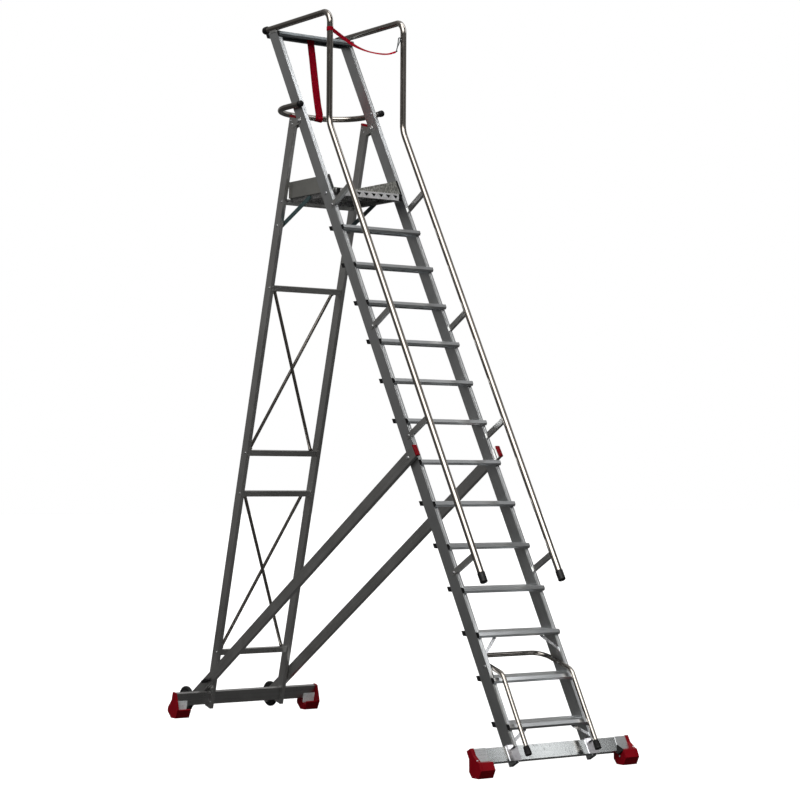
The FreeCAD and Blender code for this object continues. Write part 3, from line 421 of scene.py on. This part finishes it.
M_ZINC = steel("zinc_bolt", (0.66, 0.67, 0.69), 0.26, 1.0, 0.08)
M_RED = plastic("red_plastic", (0.18, 0.0007, 0.005), 0.36, 0.22, 0.10, (0.27, 0.012, 0.018), 0.18)
M_BLACK = plastic("black_plastic", (0.006, 0.006, 0.0065), 0.44, 0.25, 0.25, (0.04, 0.04, 0.04), 0.25)
M_RUB = plastic("black_rubber", (0.007, 0.007, 0.0075), 0.62, 0.4, 0.25, (0.05, 0.048, 0.045), 0.35)
M_WEB = webbing("red_webbing", (0.37, 0.0007, 0.014))
M_THREAD = plastic("thread", (0.36, 0.01, 0.03), 0.7, 0.3, 0.2, (0.4, 0.05, 0.05), 0.1, 0.0002)
M_HUB = plastic("wheel_hub", (0.030, 0.030, 0.032), 0.42, 0.2, 0.45, (0.08, 0.08, 0.08), 0.3)


def paint(names, mat):
    for n in names:
        if n not in nodes:
            continue
        o = nodes[n]
        o.data.materials.clear()
        o.data.materials.append(mat)


treads = ["tread_%02d" % i for i in range(1, 14)]
paint(["stile_left", "stile_right"], M_STILE)
paint(["leg_left", "leg_right"], M_LEG)
paint(["strut_left", "strut_right"], M_STRUT)
paint(["cross_bars"], M_CROSS)
paint(["rear_base_bar"], M_REAR)
paint(["front_base_bar"], M_BAR)
paint(["front_saddles"], M_SADDLE)
paint(treads, M_TREAD)
paint(["top_crossbar"], M_XBAR)
paint(["hinge_plates"], M_PLATE)
paint(["platform_deck"], M_EMB)
paint(["toe_boards_side", "toe_board_rear"], M_EMB_IN)
paint(["handrail_brackets"], M_BRKT)
paint(["front_bar_sleeves"], M_SLEEVE)
paint(["rear_bar_plates"], M_RPLATE)
paint(["handrail_left", "handrail_right", "mid_rail", "lift_handle", "x_braces"], M_TUBE)
paint(["stay_left", "stay_right"], M_DARK)
paint(["tread_braces", "flight_bolts", "rear_bolts", "wheel_axle_left", "wheel_axle_right"], M_ZINC)
paint(["strap_hook"], M_HOOK)
paint(["front_feet", "rear_feet", "leg_caps", "strut_cap_left", "strut_cap_right"], M_RED)
paint(["tread_end_caps", "platform_end_caps", "wing_knob_left", "wing_knob_right", "rail_end_caps"], M_BLACK)
paint(["handle_grips", "wheel_left", "wheel_right"], M_RUB)
paint(["entry_strap", "strap_loop", "vertical_strap"], M_WEB)

# round things shade smooth, flat things stay crisp
for n in ("handrail_left", "handrail_right", "mid_rail", "lift_handle", "rail_end_caps", "handle_grips", "wheel_left",
          "wheel_right", "flight_bolts", "rear_bolts", "wheel_axle_left", "wheel_axle_right"):
    me = nodes[n].data
    for p in me.polygons:
        p.use_smooth = True
    if hasattr(me, "set_sharp_from_angle"):
        me.set_sharp_from_angle(angle=math.radians(35))


# ------------------------------------------------------------------ mesh helpers
def obj_from(bm, name, mats, body, smooth=True, replaces=None):
    me = bpy.data.meshes.new(name)
    bm.to_mesh(me)
    bm.free()
    for m in (mats if isinstance(mats, (list, tuple)) else [mats]):
        me.materials.append(m)
    for p in me.polygons:
        p.use_smooth = smooth
    if smooth and hasattr(me, "set_sharp_from_angle"):
        me.set_sharp_from_angle(angle=math.radians(38))
    o = bpy.data.objects.new(name, me)
    bpy.context.scene.collection.objects.link(o)
    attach(o, body)
    if replaces:
        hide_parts(*replaces)
    return o


def lathe_x(bm, centre, prof, seg=64, mat=0):
    """Rings about the X axis through centre; prof is (x, r) in millimetres, closed."""
    rings = []
    for x, r in prof:
        ring = []
        for i in range(seg):
            a = 2 * math.pi * i / seg
            ring.append(bm.verts.new((x / 1000, centre.y + r / 1000 * math.cos(a), centre.z + r / 1000 * math.sin(a))))
        rings.append(ring)
    m = len(rings)
    for k in range(m):
        A, B = rings[k], rings[(k + 1) % m]
        for i in range(seg):
            j = (i + 1) % seg
            f = bm.faces.new((A[i], A[j], B[j], B[i]))
            f.material_index = mat
    return rings


def band(bm, pts, wides, width, thick, mat=0, uv=None, u0=0.0, taper=None, closed_ends=True):
    """A strap along pts (metres). wides are unit vectors across it; its edges are rounded like a selvedge."""
    prof = [(-0.5, 0.0), (-0.47, 0.42), (-0.40, 0.5), (-0.2, 0.46), (0.0, 0.5), (0.2, 0.46), (0.40, 0.5), (0.47, 0.42), (0.5, 0.0),
            (0.47, -0.42), (0.40, -0.5), (0.2, -0.46), (0.0, -0.5), (-0.2, -0.46), (-0.40, -0.5), (-0.47, -0.42)]
    uvl = uv or bm.loops.layers.uv.verify()
    rings, us = [], []
    u = u0
    n = len(pts)
    for i, p in enumerate(pts):
        t = (pts[min(i + 1, n - 1)] - pts[max(i - 1, 0)]).normalized()
        w = (wides[i] - t * wides[i].dot(t)).normalized()
        nn = t.cross(w).normalized()
        k = taper[i] if taper else 1.0
        if i:
            u += (p - pts[i - 1]).length
        us.append(u)
        rings.append([bm.verts.new(p + w * (a * width * k) + nn * (b * thick)) for a, b in prof])
    m = len(prof)
    for i in range(n - 1):
        for j in range(m):
            k = (j + 1) % m
            f = bm.faces.new((rings[i][j], rings[i][k], rings[i + 1][k], rings[i + 1][j]))
            f.material_index = mat
            va, vb = prof[j][0] * width, prof[k][0] * width
            for lo, (uu, vv) in zip(f.loops, ((us[i], va), (us[i], vb), (us[i + 1], vb), (us[i + 1], va))):
                lo[uvl].uv = (uu, vv)
    if closed_ends:
        for r, rev in ((rings[0], False), (rings[-1], True)):
            f = bm.faces.new(r if rev else r[::-1])
            f.material_index = mat
    bmesh.ops.recalc_face_normals(bm, faces=bm.faces[:])
    return rings


def stitches(bm, a, b, nrm, count, size=0.0007, mat=1):
    """A row of thread stitches from a to b, each a little rounded bead lying on the strap."""
    d = (b - a) / count
    side = d.cross(nrm).normalized()
    for i in range(count):
        p, q = a + d * (i + 0.18), a + d * (i + 0.82)
        vs = []
        for t, h, w in ((0.0, 0.0, 0.35), (0.25, 0.8, 1.0), (0.5, 1.0, 1.1), (0.75, 0.8, 1.0), (1.0, 0.0, 0.35)):
            c = p.lerp(q, t)
            vs.append([bm.verts.new(c + side * (w * size * sx) + nrm * (size * h * sz)) for sx, sz in ((-1, 0), (-0.6, 0.8), (0.6, 0.8), (1, 0))])
        for k in range(4):
            for j in range(3):
                f = bm.faces.new((vs[k][j], vs[k][j + 1], vs[k + 1][j + 1], vs[k + 1][j]))
                f.material_index = mat


def spline_points(points, name, res=14):
    """Points along the smooth curve that these control points make."""
    cu = bpy.data.curves.new(name, "CURVE")
    cu.dimensions = "3D"
    sp = cu.splines.new("NURBS")
    sp.points.add(len(points) - 1)
    for q, p in zip(sp.points, points):
        q.co = (p.x, p.y, p.z, 1.0)
    sp.order_u = 3
    sp.use_endpoint_u = True
    sp.resolution_u = res
    o = bpy.data.objects.new(name, cu)
    me = bpy.data.meshes.new_from_object(o)
    out = [v.co.copy() for v in me.vertices]
    bpy.data.objects.remove(o)
    bpy.data.curves.remove(cu)
    bpy.data.meshes.remove(me)
    return out


def thin(pts, step):
    out = [pts[0]]
    for p in pts[1:-1]:
        if (p - out[-1]).length >= step:
            out.append(p)
    out.append(pts[-1])
    return out


# ------------------------------------------------------------------ entry strap
SY = 1940.0
sag = [P(x, SY, z) for x, z in ((-252.6, 4284), (-190, 4251), (-110, 4211), (-30, 4186.5), (55, 4177), (130, 4178.5), (180, 4188), (213, 4205))]
route = spline_points(sag, "entry_strap_route")
path = thin(route, 0.004)
wides = []
for i, p in enumerate(path):
    t = (path[min(i + 1, len(path) - 1)] - path[max(i - 1, 0)]).normalized()
    up = Vector((-t.z, 0, t.x)).normalized()
    f = (p.x - path[0].x) / (path[-1].x - path[0].x)
    f = min(max((f - 0.10) / 0.55, 0), 1)
    f = f * f * (3 - 2 * f)
    a = math.radians(34 + 54 * (1 - f))
    g_ = min(max((p.x - (path[-1].x - 0.10)) / 0.10, 0), 1)
    a -= math.radians(16) * g_
    wides.append(Vector((0, 1, 0)) * math.cos(a) + up * math.sin(a))
bm = bmesh.new()
uvl = bm.loops.layers.uv.verify()
band(bm, path, wides, 0.025, 0.0018, 0, uvl)
# the doubled and stitched end at the loop
k0 = 10
band(bm, [p + wides[i].cross((path[i + 1] - path[i]).normalized()) * 0.0017 for i, p in enumerate(path[:k0])], wides[:k0], 0.0245, 0.0016, 0, uvl)
for v in (-0.009, 0.009):
    a, b = path[2], path[k0 - 2]
    w = wides[2]
    nn = w.cross((b - a).normalized())
    stitches(bm, a + w * v + nn * 0.0026, b + w * v + nn * 0.0026, nn, 12)
    stitches(bm, a + w * v - nn * 0.0010, b + w * v - nn * 0.0010, -nn, 12)
# the end folded back round the hook's cross pin
e = path[-7:]
wn = wides[-4].cross((e[-1] - e[0]).normalized())
wn = wn if wn.z > 0 else -wn
band(bm, [p - wn * 0.0019 for p in e[:-1]], wides[-7:-1], 0.0245, 0.0016, 0, uvl)
for v in (-0.008, 0.008):
    a, b = e[0] + wides[-7] * v + wn * 0.0012, e[4] + wides[-4] * v + wn * 0.0012
    stitches(bm, a, b, wn, 8)
strap = obj_from(bm, "entry_strap_webbing", [M_WEB, M_THREAD], "flight", True, ("entry_strap",))

# loop of the entry strap round the left rail
bm = bmesh.new()
uvl = bm.loops.layers.uv.verify()
RX, RZ = -273.0, 4287.0
ring = []
for i in range(49):
    a = math.radians(12 + (348 - 12) * i / 48)
    r = 20.3 + 0.2 * math.sin(5 * a)
    ring.append(P(RX + r * math.cos(a), SY + r * math.sin(a), RZ))
tail0 = P(RX + 22.2, SY + 1.4, RZ)
tail1 = P(RX + 22.2, SY - 1.4, RZ)
loop_pts = [tail0] + ring + [tail1]
band(bm, loop_pts, [Vector((0, 0, 1))] * len(loop_pts), 0.0255, 0.0018, 0, uvl)
loop = obj_from(bm, "entry_strap_ring", [M_WEB, M_THREAD], "flight", True, ("strap_loop",))

# ------------------------------------------------------------------ vertical strap, crossbar to mid rail
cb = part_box("top_crossbar")
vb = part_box("vertical_strap")
MR = P(84, 2622, 3866)                       # mid rail centre where the strap is looped
top = Vector((-0.023, 0, vb[1].z))
top.y = P(0, 4370 * c60 / s60 + 32, 0).y
bot = MR + Vector((0, -0.0192, 0.004))
bm = bmesh.new()
uvl = bm.loops.layers.uv.verify()
n = 60
xs = Vector((1, 0, 0))
main, ws, tp = [], [], []
for i in range(n + 1):
    f = i / n
    p = top.lerp(bot, f)
    p.y += 0.0035 * math.sin(math.pi * f)
    p.x += 0.0012 * math.sin(2 * math.pi * f)
    main.append(p)
    tw = math.radians(-5 * math.sin(math.pi * f))
    ws.append(Vector((math.cos(tw), math.sin(tw), 0)))
    tp.append(1.0 - 0.06 * math.exp(-((f - 0.0) / 0.03) ** 2) + 0.05 * f)
band(bm, main, ws, 0.050, 0.0018, 0, uvl, 0.0, tp)
# doubled tail down the back of the top, sewn across in a box
tail = [p + Vector((0, 0.0021, 0)) for p in main[1:14]]
band(bm, tail, ws[1:14], 0.049, 0.0017, 0, uvl)
for (i0, i1) in ((3, 11),):
    for v in (-0.020, 0.020):
        stitches(bm, main[i0] + Vector((v, -0.0010, 0)), main[i1] + Vector((v, -0.0010, 0)), Vector((0, -1, 0)), 26)
    for k in (i0, i1):
        stitches(bm, main[k] + Vector((-0.020, -0.0010, 0)), main[k] + Vector((0.020, -0.0010, 0)), Vector((0, -1, 0)), 12)
    stitches(bm, main[i0] + Vector((-0.020, -0.0010, 0)), main[i1] + Vector((0.020, -0.0010, 0)), Vector((0, -1, 0)), 26)
    stitches(bm, main[i0] + Vector((0.020, -0.0010, 0)), main[i1] + Vector((-0.020, -0.0010, 0)), Vector((0, -1, 0)), 26)
# the turn round the rail, and a second turn lying a little askew on it
for r0, dx, wid, a0, a1 in ((0.0194, 0.0, 0.051, -170, 175), (0.0214, 0.003, 0.0515, -205, 120)):
    pts, wv = [], []
    for i in range(45):
        a = math.radians(a0 + (a1 - a0) * i / 44)
        xx = MR.x + dx + 0.004 * math.sin(a * 0.5)
        pts.append(Vector((xx, MR.y + r0 * math.cos(a), MR.z + r0 * math.sin(a))))
        wv.append(Vector((1, 0.0, 0.10 * math.sin(a))).normalized())
    band(bm, pts, wv, wid, 0.0017, 0, uvl)
# sewn end of the loop above the rail
e0, e1 = main[-9] + Vector((0, -0.0019, 0)), bot + Vector((0.001, -0.0022, 0.010))
ee = [e0.lerp(e1, i / 10) for i in range(11)]
band(bm, ee, [xs] * 11, 0.0515, 0.0016, 0, uvl)
for z in (0.12, 0.5, 0.88):
    q = e0.lerp(e1, z)
    stitches(bm, q + Vector((-0.023, -0.0010, 0)), q + Vector((0.023, -0.0010, 0)), Vector((0, -1, 0)), 14)
obj_from(bm, "guard_strap_webbing", [M_WEB, M_THREAD], "flight", True, ("vertical_strap",))


# ------------------------------------------------------------------ wheels
def wheel(side):
    name = "right" if side > 0 else "left"
    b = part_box("wheel_" + name)
    c = (b[0] + b[1]) / 2
    x0, x1 = (b[0].x, b[1].x) if side > 0 else (b[1].x, b[0].x)
    xm = (x0 + x1) / 2 * 1000
    h = 13.5
    s = side
    bm = bmesh.new()
    # tyre: crowned tread with two grooves, shoulders and a bead
    tyre = [(-h + 1.2, 60), (-h + 0.3, 66), (-h + 0.3, 74), (-h + 1.8, 79.5), (-h + 5.0, 82.6), (-6.2, 83.4), (-5.4, 82.2), (-4.6, 82.2), (-3.8, 83.9),
            (0, 84.0), (3.8, 83.9), (4.6, 82.2), (5.4, 82.2), (6.2, 83.4), (h - 5.0, 82.6), (h - 1.8, 79.5), (h - 0.3, 74), (h - 0.3, 66),
            (h - 1.2, 60), (h - 3.2, 58.4), (0, 58.2), (-h + 3.2, 58.4)]
    lathe_x(bm, Vector((0, c.y, c.z)), [(xm + s * x, r) for x, r in tyre], 96, 0)
    # rim, web and hub
    rim = [(-h + 2.6, 58.8), (-h + 2.2, 55.5), (-h + 3.4, 53.4), (-4.2, 52.6), (-2.2, 49), (-2.2, 27), (-4.0, 24.5), (-h + 1.4, 23.4), (-h + 0.6, 22.4),
           (-h + 0.6, 10.2), (-h + 2.2, 8.4), (h - 2.2, 8.4), (h - 0.6, 10.2), (h - 0.6, 22.4), (h - 1.4, 23.4), (4.0, 24.5), (2.2, 27), (2.2, 49),
           (4.2, 52.6), (h - 3.4, 53.4), (h - 2.2, 55.5), (h - 2.6, 58.8)]
    lathe_x(bm, Vector((0, c.y, c.z)), [(xm + s * x, r) for x, r in rim], 96, 1)
    # ribs between hub and rim on both faces
    for k in range(10):
        a = 2 * math.pi * (k + 0.5) / 10
        u = Vector((0, math.cos(a), math.sin(a)))
        w = Vector((0, -math.sin(a), math.cos(a)))
        for f in (-1, 1):
            vs = []
            for r, hx in ((22.8, h - 1.9), (37.0, h - 4.4), (54.2, h - 3.8)):
                o = Vector((xm / 1000, c.y, c.z)) + u * (r / 1000)
                base = Vector((f * 1.9 / 1000, 0, 0))
                tipx = Vector((f * hx / 1000, 0, 0))
                vs.append([bm.verts.new(o + base - w * 0.0019), bm.verts.new(o + tipx - w * 0.0011), bm.verts.new(o + tipx + w * 0.0011), bm.verts.new(o + base + w * 0.0019)])
            for i in range(2):
                for j in range(4):
                    q = (j + 1) % 4
                    fc = bm.faces.new((vs[i][j], vs[i][q], vs[i + 1][q], vs[i + 1][j]))
                    fc.material_index = 1
            bm.faces.new(vs[0][::-1]).material_index = 1
            bm.faces.new(vs[2]).material_index = 1
    bmesh.ops.recalc_face_normals(bm, faces=bm.faces[:])
    obj_from(bm, "wheel_%s_tyre_and_hub" % name, [M_RUB, M_HUB], "wheel_r" if side > 0 else "wheel_l", True, ("wheel_" + name,))


wheel(1)
wheel(-1)


# ------------------------------------------------------------------ lift handle grips
def tube_frame(axis):
    a = axis.normalized()
    u = a.cross(Vector((1, 0, 0))).normalized()
    return a, u, a.cross(u)


bm = bmesh.new()
h0 = PF(0, 37.0, 112.0)
h1 = P(0, 251.0, 517.0)
axg, ug, vg = tube_frame(h0 - h1)
for sx in (-1, 1):
    g0 = Vector((sx * 0.240, h0.y + 0.0016, h0.z)) - axg * 0.042
    prof = [(0.0, 13.05), (0.0, 15.2), (1.2, 15.9)]
    for k in range(6):
        a = 4 + k * 6.0
        r = 15.9 + 2.9 * (a + 3) / 46
        prof += [(a, r), (a + 0.7, r + 0.55), (a + 3.6, r + 0.75), (a + 4.3, r + 0.1), (a + 4.8, r - 0.5), (a + 5.5, r - 0.45)]
    prof += [(41.5, 18.6), (46.0, 18.9), (49.6, 18.1), (51.0, 16.2), (51.0, 13.0), (50.6, 6.0)]
    rings = []
    for t, r in prof:
        rings.append([bm.verts.new(g0 + axg * (t / 1000) + (ug * math.cos(2 * math.pi * i / 48) + vg * math.sin(2 * math.pi * i / 48)) * (r / 1000)) for i in range(48)])
    for A, B in zip(rings, rings[1:]):
        for i in range(48):
            j = (i + 1) % 48
            bm.faces.new((A[i], A[j], B[j], B[i]))
    bm.faces.new(rings[-1])
bmesh.ops.recalc_face_normals(bm, faces=bm.faces[:])
obj_from(bm, "lift_handle_grips_ribbed", [M_RUB], "handle", True, ("handle_grips",))


# ------------------------------------------------------------------ small parts set on the frame
def plate(bm, c, ux, uy, un, pts, thick, mat=0, bev=0.0):
    """A flat shape: pts in metres in the plane (ux, uy) about c, standing thick off it along un."""
    lo = [bm.verts.new(c + ux * a + uy * b) for a, b in pts]
    k = 1.0 - bev
    hi = [bm.verts.new(c + ux * a * k + uy * b * k + un * thick) for a, b in pts]
    n_ = len(pts)
    bm.faces.new(lo[::-1]).material_index = mat
    bm.faces.new(hi).material_index = mat
    for i in range(n_):
        j = (i + 1) % n_
        bm.faces.new((lo[i], lo[j], hi[j], hi[i])).material_index = mat


def screw(bm, c, ux, uy, un, r=0.0055, h=0.0022, mat=0, cross=True):
    """A pan head with a cross recess."""
    seg = 24
    levels = [(1.0, 0.0), (1.0, 0.35), (0.9, 0.72), (0.66, 0.94), (0.42, 1.0)]
    rings = []
    for k, z in levels:
        rings.append([bm.verts.new(c + (ux * math.cos(2 * math.pi * i / seg) + uy * math.sin(2 * math.pi * i / seg)) * (r * k) + un * (h * z)) for i in range(seg)])
    for A, B in zip(rings, rings[1:]):
        for i in range(seg):
            j = (i + 1) % seg
            bm.faces.new((A[i], A[j], B[j], B[i])).material_index = mat
    # recess: the middle drops where the cross lies
    inner = []
    for i in range(seg):
        a = 2 * math.pi * i / seg
        q = abs(math.cos(2 * a))
        deep = 0.35 if q > 0.86 else 1.0
        inner.append(bm.verts.new(c + (ux * math.cos(a) + uy * math.sin(a)) * (r * 0.16) + un * (h * deep)))
    for i in range(seg):
        j = (i + 1) % seg
        bm.faces.new((rings[-1][i], rings[-1][j], inner[j], inner[i])).material_index = mat
    bm.faces.new(inner).material_index = mat
    bm.faces.new(rings[0][::-1]).material_index = mat

# ------------------------------------------------------------------ platform nose: perforated grip strip
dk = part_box("platform_deck")
yn = dk[0].y                                  # front face of the deck
X3, Y3, Z3 = Vector((1, 0, 0)), Vector((0, 1, 0)), Vector((0, 0, 1))
bm = bmesh.new()
z0, z1 = dk[1].z - 0.0405, dk[1].z - 0.0006
hw_, cells = 0.2165, 8
cw = 2 * hw_ / cells
yf, yb = yn - 0.0010, yn - 0.0002


def quad(bm, pts, mat=0):
    f = bm.faces.new([bm.verts.new(p) for p in pts])
    f.material_index = mat
    return f


for k in range(cells):
    xa, xb = -hw_ + k * cw, -hw_ + (k + 1) * cw
    A, B, C, D = (xa, z0), (xb, z0), (xb, z1), (xa, z1)
    xm_, zm = (xa + xb) / 2, (z0 + z1) / 2 + 0.001
    t0, t1, t2 = (xm_ - 0.0175, zm + 0.0100), (xm_ + 0.0175, zm + 0.0080), (xm_ + 0.004, zm - 0.0110)
    for poly in ((D, C, t1, t0), (C, B, t2, t1), (B, A, t2), (A, D, t0, t2)):
        quad(bm, [Vector((x, yf, z)) for x, z in poly])
    # walls of the hole and a raised lip round it; the walls and back of each hole are painted black as painted shade
    # inside the hole
    tri = (t0, t1, t2)
    cx_, cz_ = sum(p[0] for p in tri) / 3, sum(p[1] for p in tri) / 3
    for i in range(3):
        p, q = tri[i], tri[(i + 1) % 3]
        po = (cx_ + (p[0] - cx_) * 1.20, cz_ + (p[1] - cz_) * 1.20)
        qo = (cx_ + (q[0] - cx_) * 1.20, cz_ + (q[1] - cz_) * 1.20)
        quad(bm, [Vector((p[0], yb, p[1])), Vector((q[0], yb, q[1])), Vector((q[0], yf - 0.0005, q[1])), Vector((p[0], yf - 0.0005, p[1]))], 1)
        quad(bm, [Vector((p[0], yf - 0.0005, p[1])), Vector((q[0], yf - 0.0005, q[1])), Vector((qo[0], yf, qo[1])), Vector((po[0], yf, po[1]))])
        quad(bm, [Vector((p[0], yb, p[1])), Vector((q[0], yb, q[1])), Vector((cx_, yb, cz_))], 1)
# rolled lower edge and top edge
for x0_, x1_, za, zb in ((-hw_, hw_, z0 - 0.0008, z0), (-hw_, hw_, z1, z1 + 0.0004)):
    quad(bm, [Vector((x0_, yf, zb if za < z0 else za)), Vector((x1_, yf, zb if za < z0 else za)), Vector((x1_, yn - 0.0001, za if za < z0 else zb)), Vector((x0_, yn - 0.0001, za if za < z0 else zb))])
# a row of pressed teeth along the top edge
nt = 36
for k in range(nt):
    xa = -hw_ + (k + 0.12) * 2 * hw_ / nt
    xb = -hw_ + (k + 0.88) * 2 * hw_ / nt
    xm_ = (xa + xb) / 2
    base = [Vector((xa, yf, z1 - 0.0002)), Vector((xb, yf, z1 - 0.0002)), Vector((xm_, yf, z1 - 0.0062))]
    tip = Vector((xm_, yf - 0.0006, z1 - 0.0016))
    tv = bm.verts.new(tip)
    bv = [bm.verts.new(p) for p in base]
    for i in range(3):
        bm.faces.new((bv[i], bv[(i + 1) % 3], tv))
bmesh.ops.recalc_face_normals(bm, faces=bm.faces[:])
obj_from(bm, "platform_nose_grip_strip", [M_NOSE, M_PAINTED_SHADE], "platform", False)

# ------------------------------------------------------------------ screws and foot details
bm = bmesh.new()
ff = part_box("front_feet")
for sx in (-1, 1):
    # on the inner face of each front foot block, and on the face plate over it
    xi = 0.450
    screw(bm, Vector((sx * xi, P(0, 88, 0).y, 0.046)), Y3, Z3, Vector((-sx, 0, 0)), 0.0065, 0.0022)
    un_ = Vector((0, -0.568, 0.823))
    screw(bm, P(sx * 538.0, 76.0, 93.9), X3, un_.cross(X3), un_, 0.0055, 0.0016)
obj_from(bm, "front_foot_screws", [M_ZINC], "flight", True)

# black wedge in the corner between bar and block, on the inner side of the right front foot only: painted shade for
# the dark gap there
bm = bmesh.new()
wa = PF(447, -39.0, 149)
wb = PF(424, -39.0, 90)
wc = P(454, 55, 85.0)
wd = PF(455, -39.0, 92)
wv = [bm.verts.new(p) for p in (wa, wb, wc, wd)]
for t in ((0, 1, 2), (0, 2, 3), (0, 3, 1), (1, 3, 2)):
    bm.faces.new([wv[k] for k in t])
bmesh.ops.recalc_face_normals(bm, faces=bm.faces[:])
bmesh.ops.bevel(bm, geom=bm.edges[:], offset=0.0012, segments=2, profile=0.6, affect="EDGES")
obj_from(bm, "front_foot_shade_wedge", [M_PAINTED_SHADE], "flight", True)


# ------------------------------------------------------------------ floor and light
me = bpy.data.meshes.new("floor")
me.from_pydata([(-60, -60, 0), (60, -60, 0), (60, 60, 0), (-60, 60, 0)], [], [(0, 1, 2, 3)])
floor = bpy.data.objects.new("floor", me)
bpy.context.scene.collection.objects.link(floor)
gf = G("floor_white")
fb = principled(gf, Roughness=0.9, Metallic=0.0)
fb.inputs["Base Color"].default_value = (0.30, 0.30, 0.30, 1)
fb.inputs["Emission Color"].default_value = (1, 1, 1, 1)
fb.inputs["Emission Strength"].default_value = 0.96
me.materials.append(gf.mat)
floor.visible_glossy = False
floor.visible_diffuse = False

# light of the room: level, direction and softness of each patch
FRONT, REAR, REAR_R, HIGH, ROOF = 0.10, 0.17, 0.10, 0.15, 0.25
GROUND_F, GROUND_R = 0.07, 0.07
LIGHTS = [((-0.55, -0.45, 0.70), 0.83, 0.93, 4.4), ((0.57, 0.26, 0.77), 0.86, 0.96, 0.30)]
SHADES = [((-0.36, -0.93, 0.04), 0.94, 0.99, 0.26), ((0.72, -0.69, 0.0), 0.66, 0.86, -0.09), ((0.97, 0.22, 0.12), 0.84, 0.97, 0.24), ((0.38, 0.92, 0.12), 0.84, 0.97, 0.20)]
gw = G("studio", world=True)
tc = gw.n("ShaderNodeTexCoord")
sep = gw.n("ShaderNodeSeparateXYZ")
gw.l(tc, "Generated", sep, 0)
cloud = gw.n("ShaderNodeTexNoise")
cloud.inputs["Scale"].default_value = 3.2
cloud.inputs["Detail"].default_value = 3.0
gw.l(tc, "Generated", cloud, "Vector")
cl = gw.ramp(cloud, 0, 0.35, 0.65, 0.80, 1.2)


def toward(d, lo, hi, gain):
    """A soft-edged patch of light round the direction d: nothing below the cosine lo, full above hi."""
    dot = gw.n("ShaderNodeVectorMath", operation="DOT_PRODUCT")
    gw.l(tc, "Generated", dot, 0)
    dot.inputs[1].default_value = Vector(d).normalized()
    return gw.ramp(dot, "Value", lo, hi, 0.0, gain, True)


def total(parts):
    acc = parts[0]
    for q in parts[1:]:
        acc = gw.math("ADD", (acc, 0), (q, 0))
    return acc


front = gw.ramp(sep, "Y", 0.30, -0.45, 0.0, 1.0, True)
rear_r = gw.ramp(sep, "X", 0.55, 1.0, 0.0, REAR_R, True)
up = gw.ramp(sep, "Z", -0.06, 0.08, 0.0, 1.0, True)
high = gw.ramp(sep, "Z", 0.40, 0.85, 0.0, HIGH, True)
roof = gw.ramp(sep, "Z", 0.70, 0.98, 0.0, ROOF, True)
base = gw.math("MULTIPLY_ADD", (front, 0), FRONT - REAR)
base.inputs[2].default_value = REAR
room = total([base, rear_r, high, roof] + [toward(*q) for q in SHADES])
room = gw.math("MULTIPLY", (room, 0), (cl, 0))
low = gw.ramp(sep, "Z", 0.22, 0.42, 0.0, 1.0, True)
patches = total([toward(*q) for q in LIGHTS])
patches = gw.math("MULTIPLY", (patches, 0), (low, 0))
lights = total([room, patches])
gnd = gw.math("MULTIPLY_ADD", (front, 0), GROUND_F - GROUND_R)
gnd.inputs[2].default_value = GROUND_R
dlt = gw.math("SUBTRACT", (lights, 0), (gnd, 0))
s2 = gw.math("MULTIPLY_ADD", (dlt, 0), (up, 0))
gw.l(gnd, 0, s2, 2)
bgl = gw.n("ShaderNodeBackground")
bgl.inputs["Color"].default_value = (1.0, 0.99, 0.97, 1)
gw.l(s2, 0, bgl, "Strength")
bgc = gw.n("ShaderNodeBackground")
bgc.inputs["Color"].default_value = (1, 1, 1, 1)
bgc.inputs["Strength"].default_value = 1.0
lp = gw.n("ShaderNodeLightPath")
mx = gw.n("ShaderNodeMixShader")
gw.l(lp, "Is Camera Ray", mx, 0)
gw.l(bgl, 0, mx, 1)
gw.l(bgc, 0, mx, 2)
wo = gw.n("ShaderNodeOutputWorld")
gw.l(mx, 0, wo, "Surface")
bpy.context.scene.world = gw.mat
sc = bpy.context.scene
sc.view_settings.view_transform = "Standard"
sc.view_settings.look = "None"
sc.view_settings.exposure = 0.0


def area(name, loc, target, size, power, col=(1, 1, 1), sy=None):
    ld = bpy.data.lights.new(name, "AREA")
    ld.shape = "RECTANGLE"
    ld.size = size
    ld.size_y = sy or size
    ld.energy = power
    ld.color = col
    lo = bpy.data.objects.new(name, ld)
    sc.collection.objects.link(lo)
    lo.location = loc
    d = (Vector(target) - Vector(loc)).normalized()
    lo.rotation_euler = d.to_track_quat("-Z", "Y").to_euler()
    lo.visible_camera = False
    return lo


area("key", (-1.5, -7.5, 9.0), (0, 0, 2.0), 2.2, 60)


def strip(name, x, y, z, ray, dist, wx, ly, level, col=(1, 1, 1)):
    """A soft box a little in front of the flight, lying along it: level is how bright its face looks."""
    o = P(x, y, z)
    r = Vector(ray).normalized()
    return area(name, o + r * dist, o, wx, level * wx * ly * 4.0, col, ly)


strip("box_low", 190, 40, 150, (0.572, -0.498, 0.652), 3.0, 0.42, 0.9, 1.3)
strip("box_left_low", -300, 330, 560, (0.572, -0.498, 0.652), 1.6, 0.16, 0.5, 3.2)
strip("box_mid", -262, 1250, 2200, (0.568, -0.40, 0.71), 3.0, 0.5, 2.6, 0.5)
strip("box_top", -340, 2200, 3950, (0.562, -0.26, 0.785), 1.3, 0.13, 1.4, 4.2, (0.95, 0.97, 1.0))
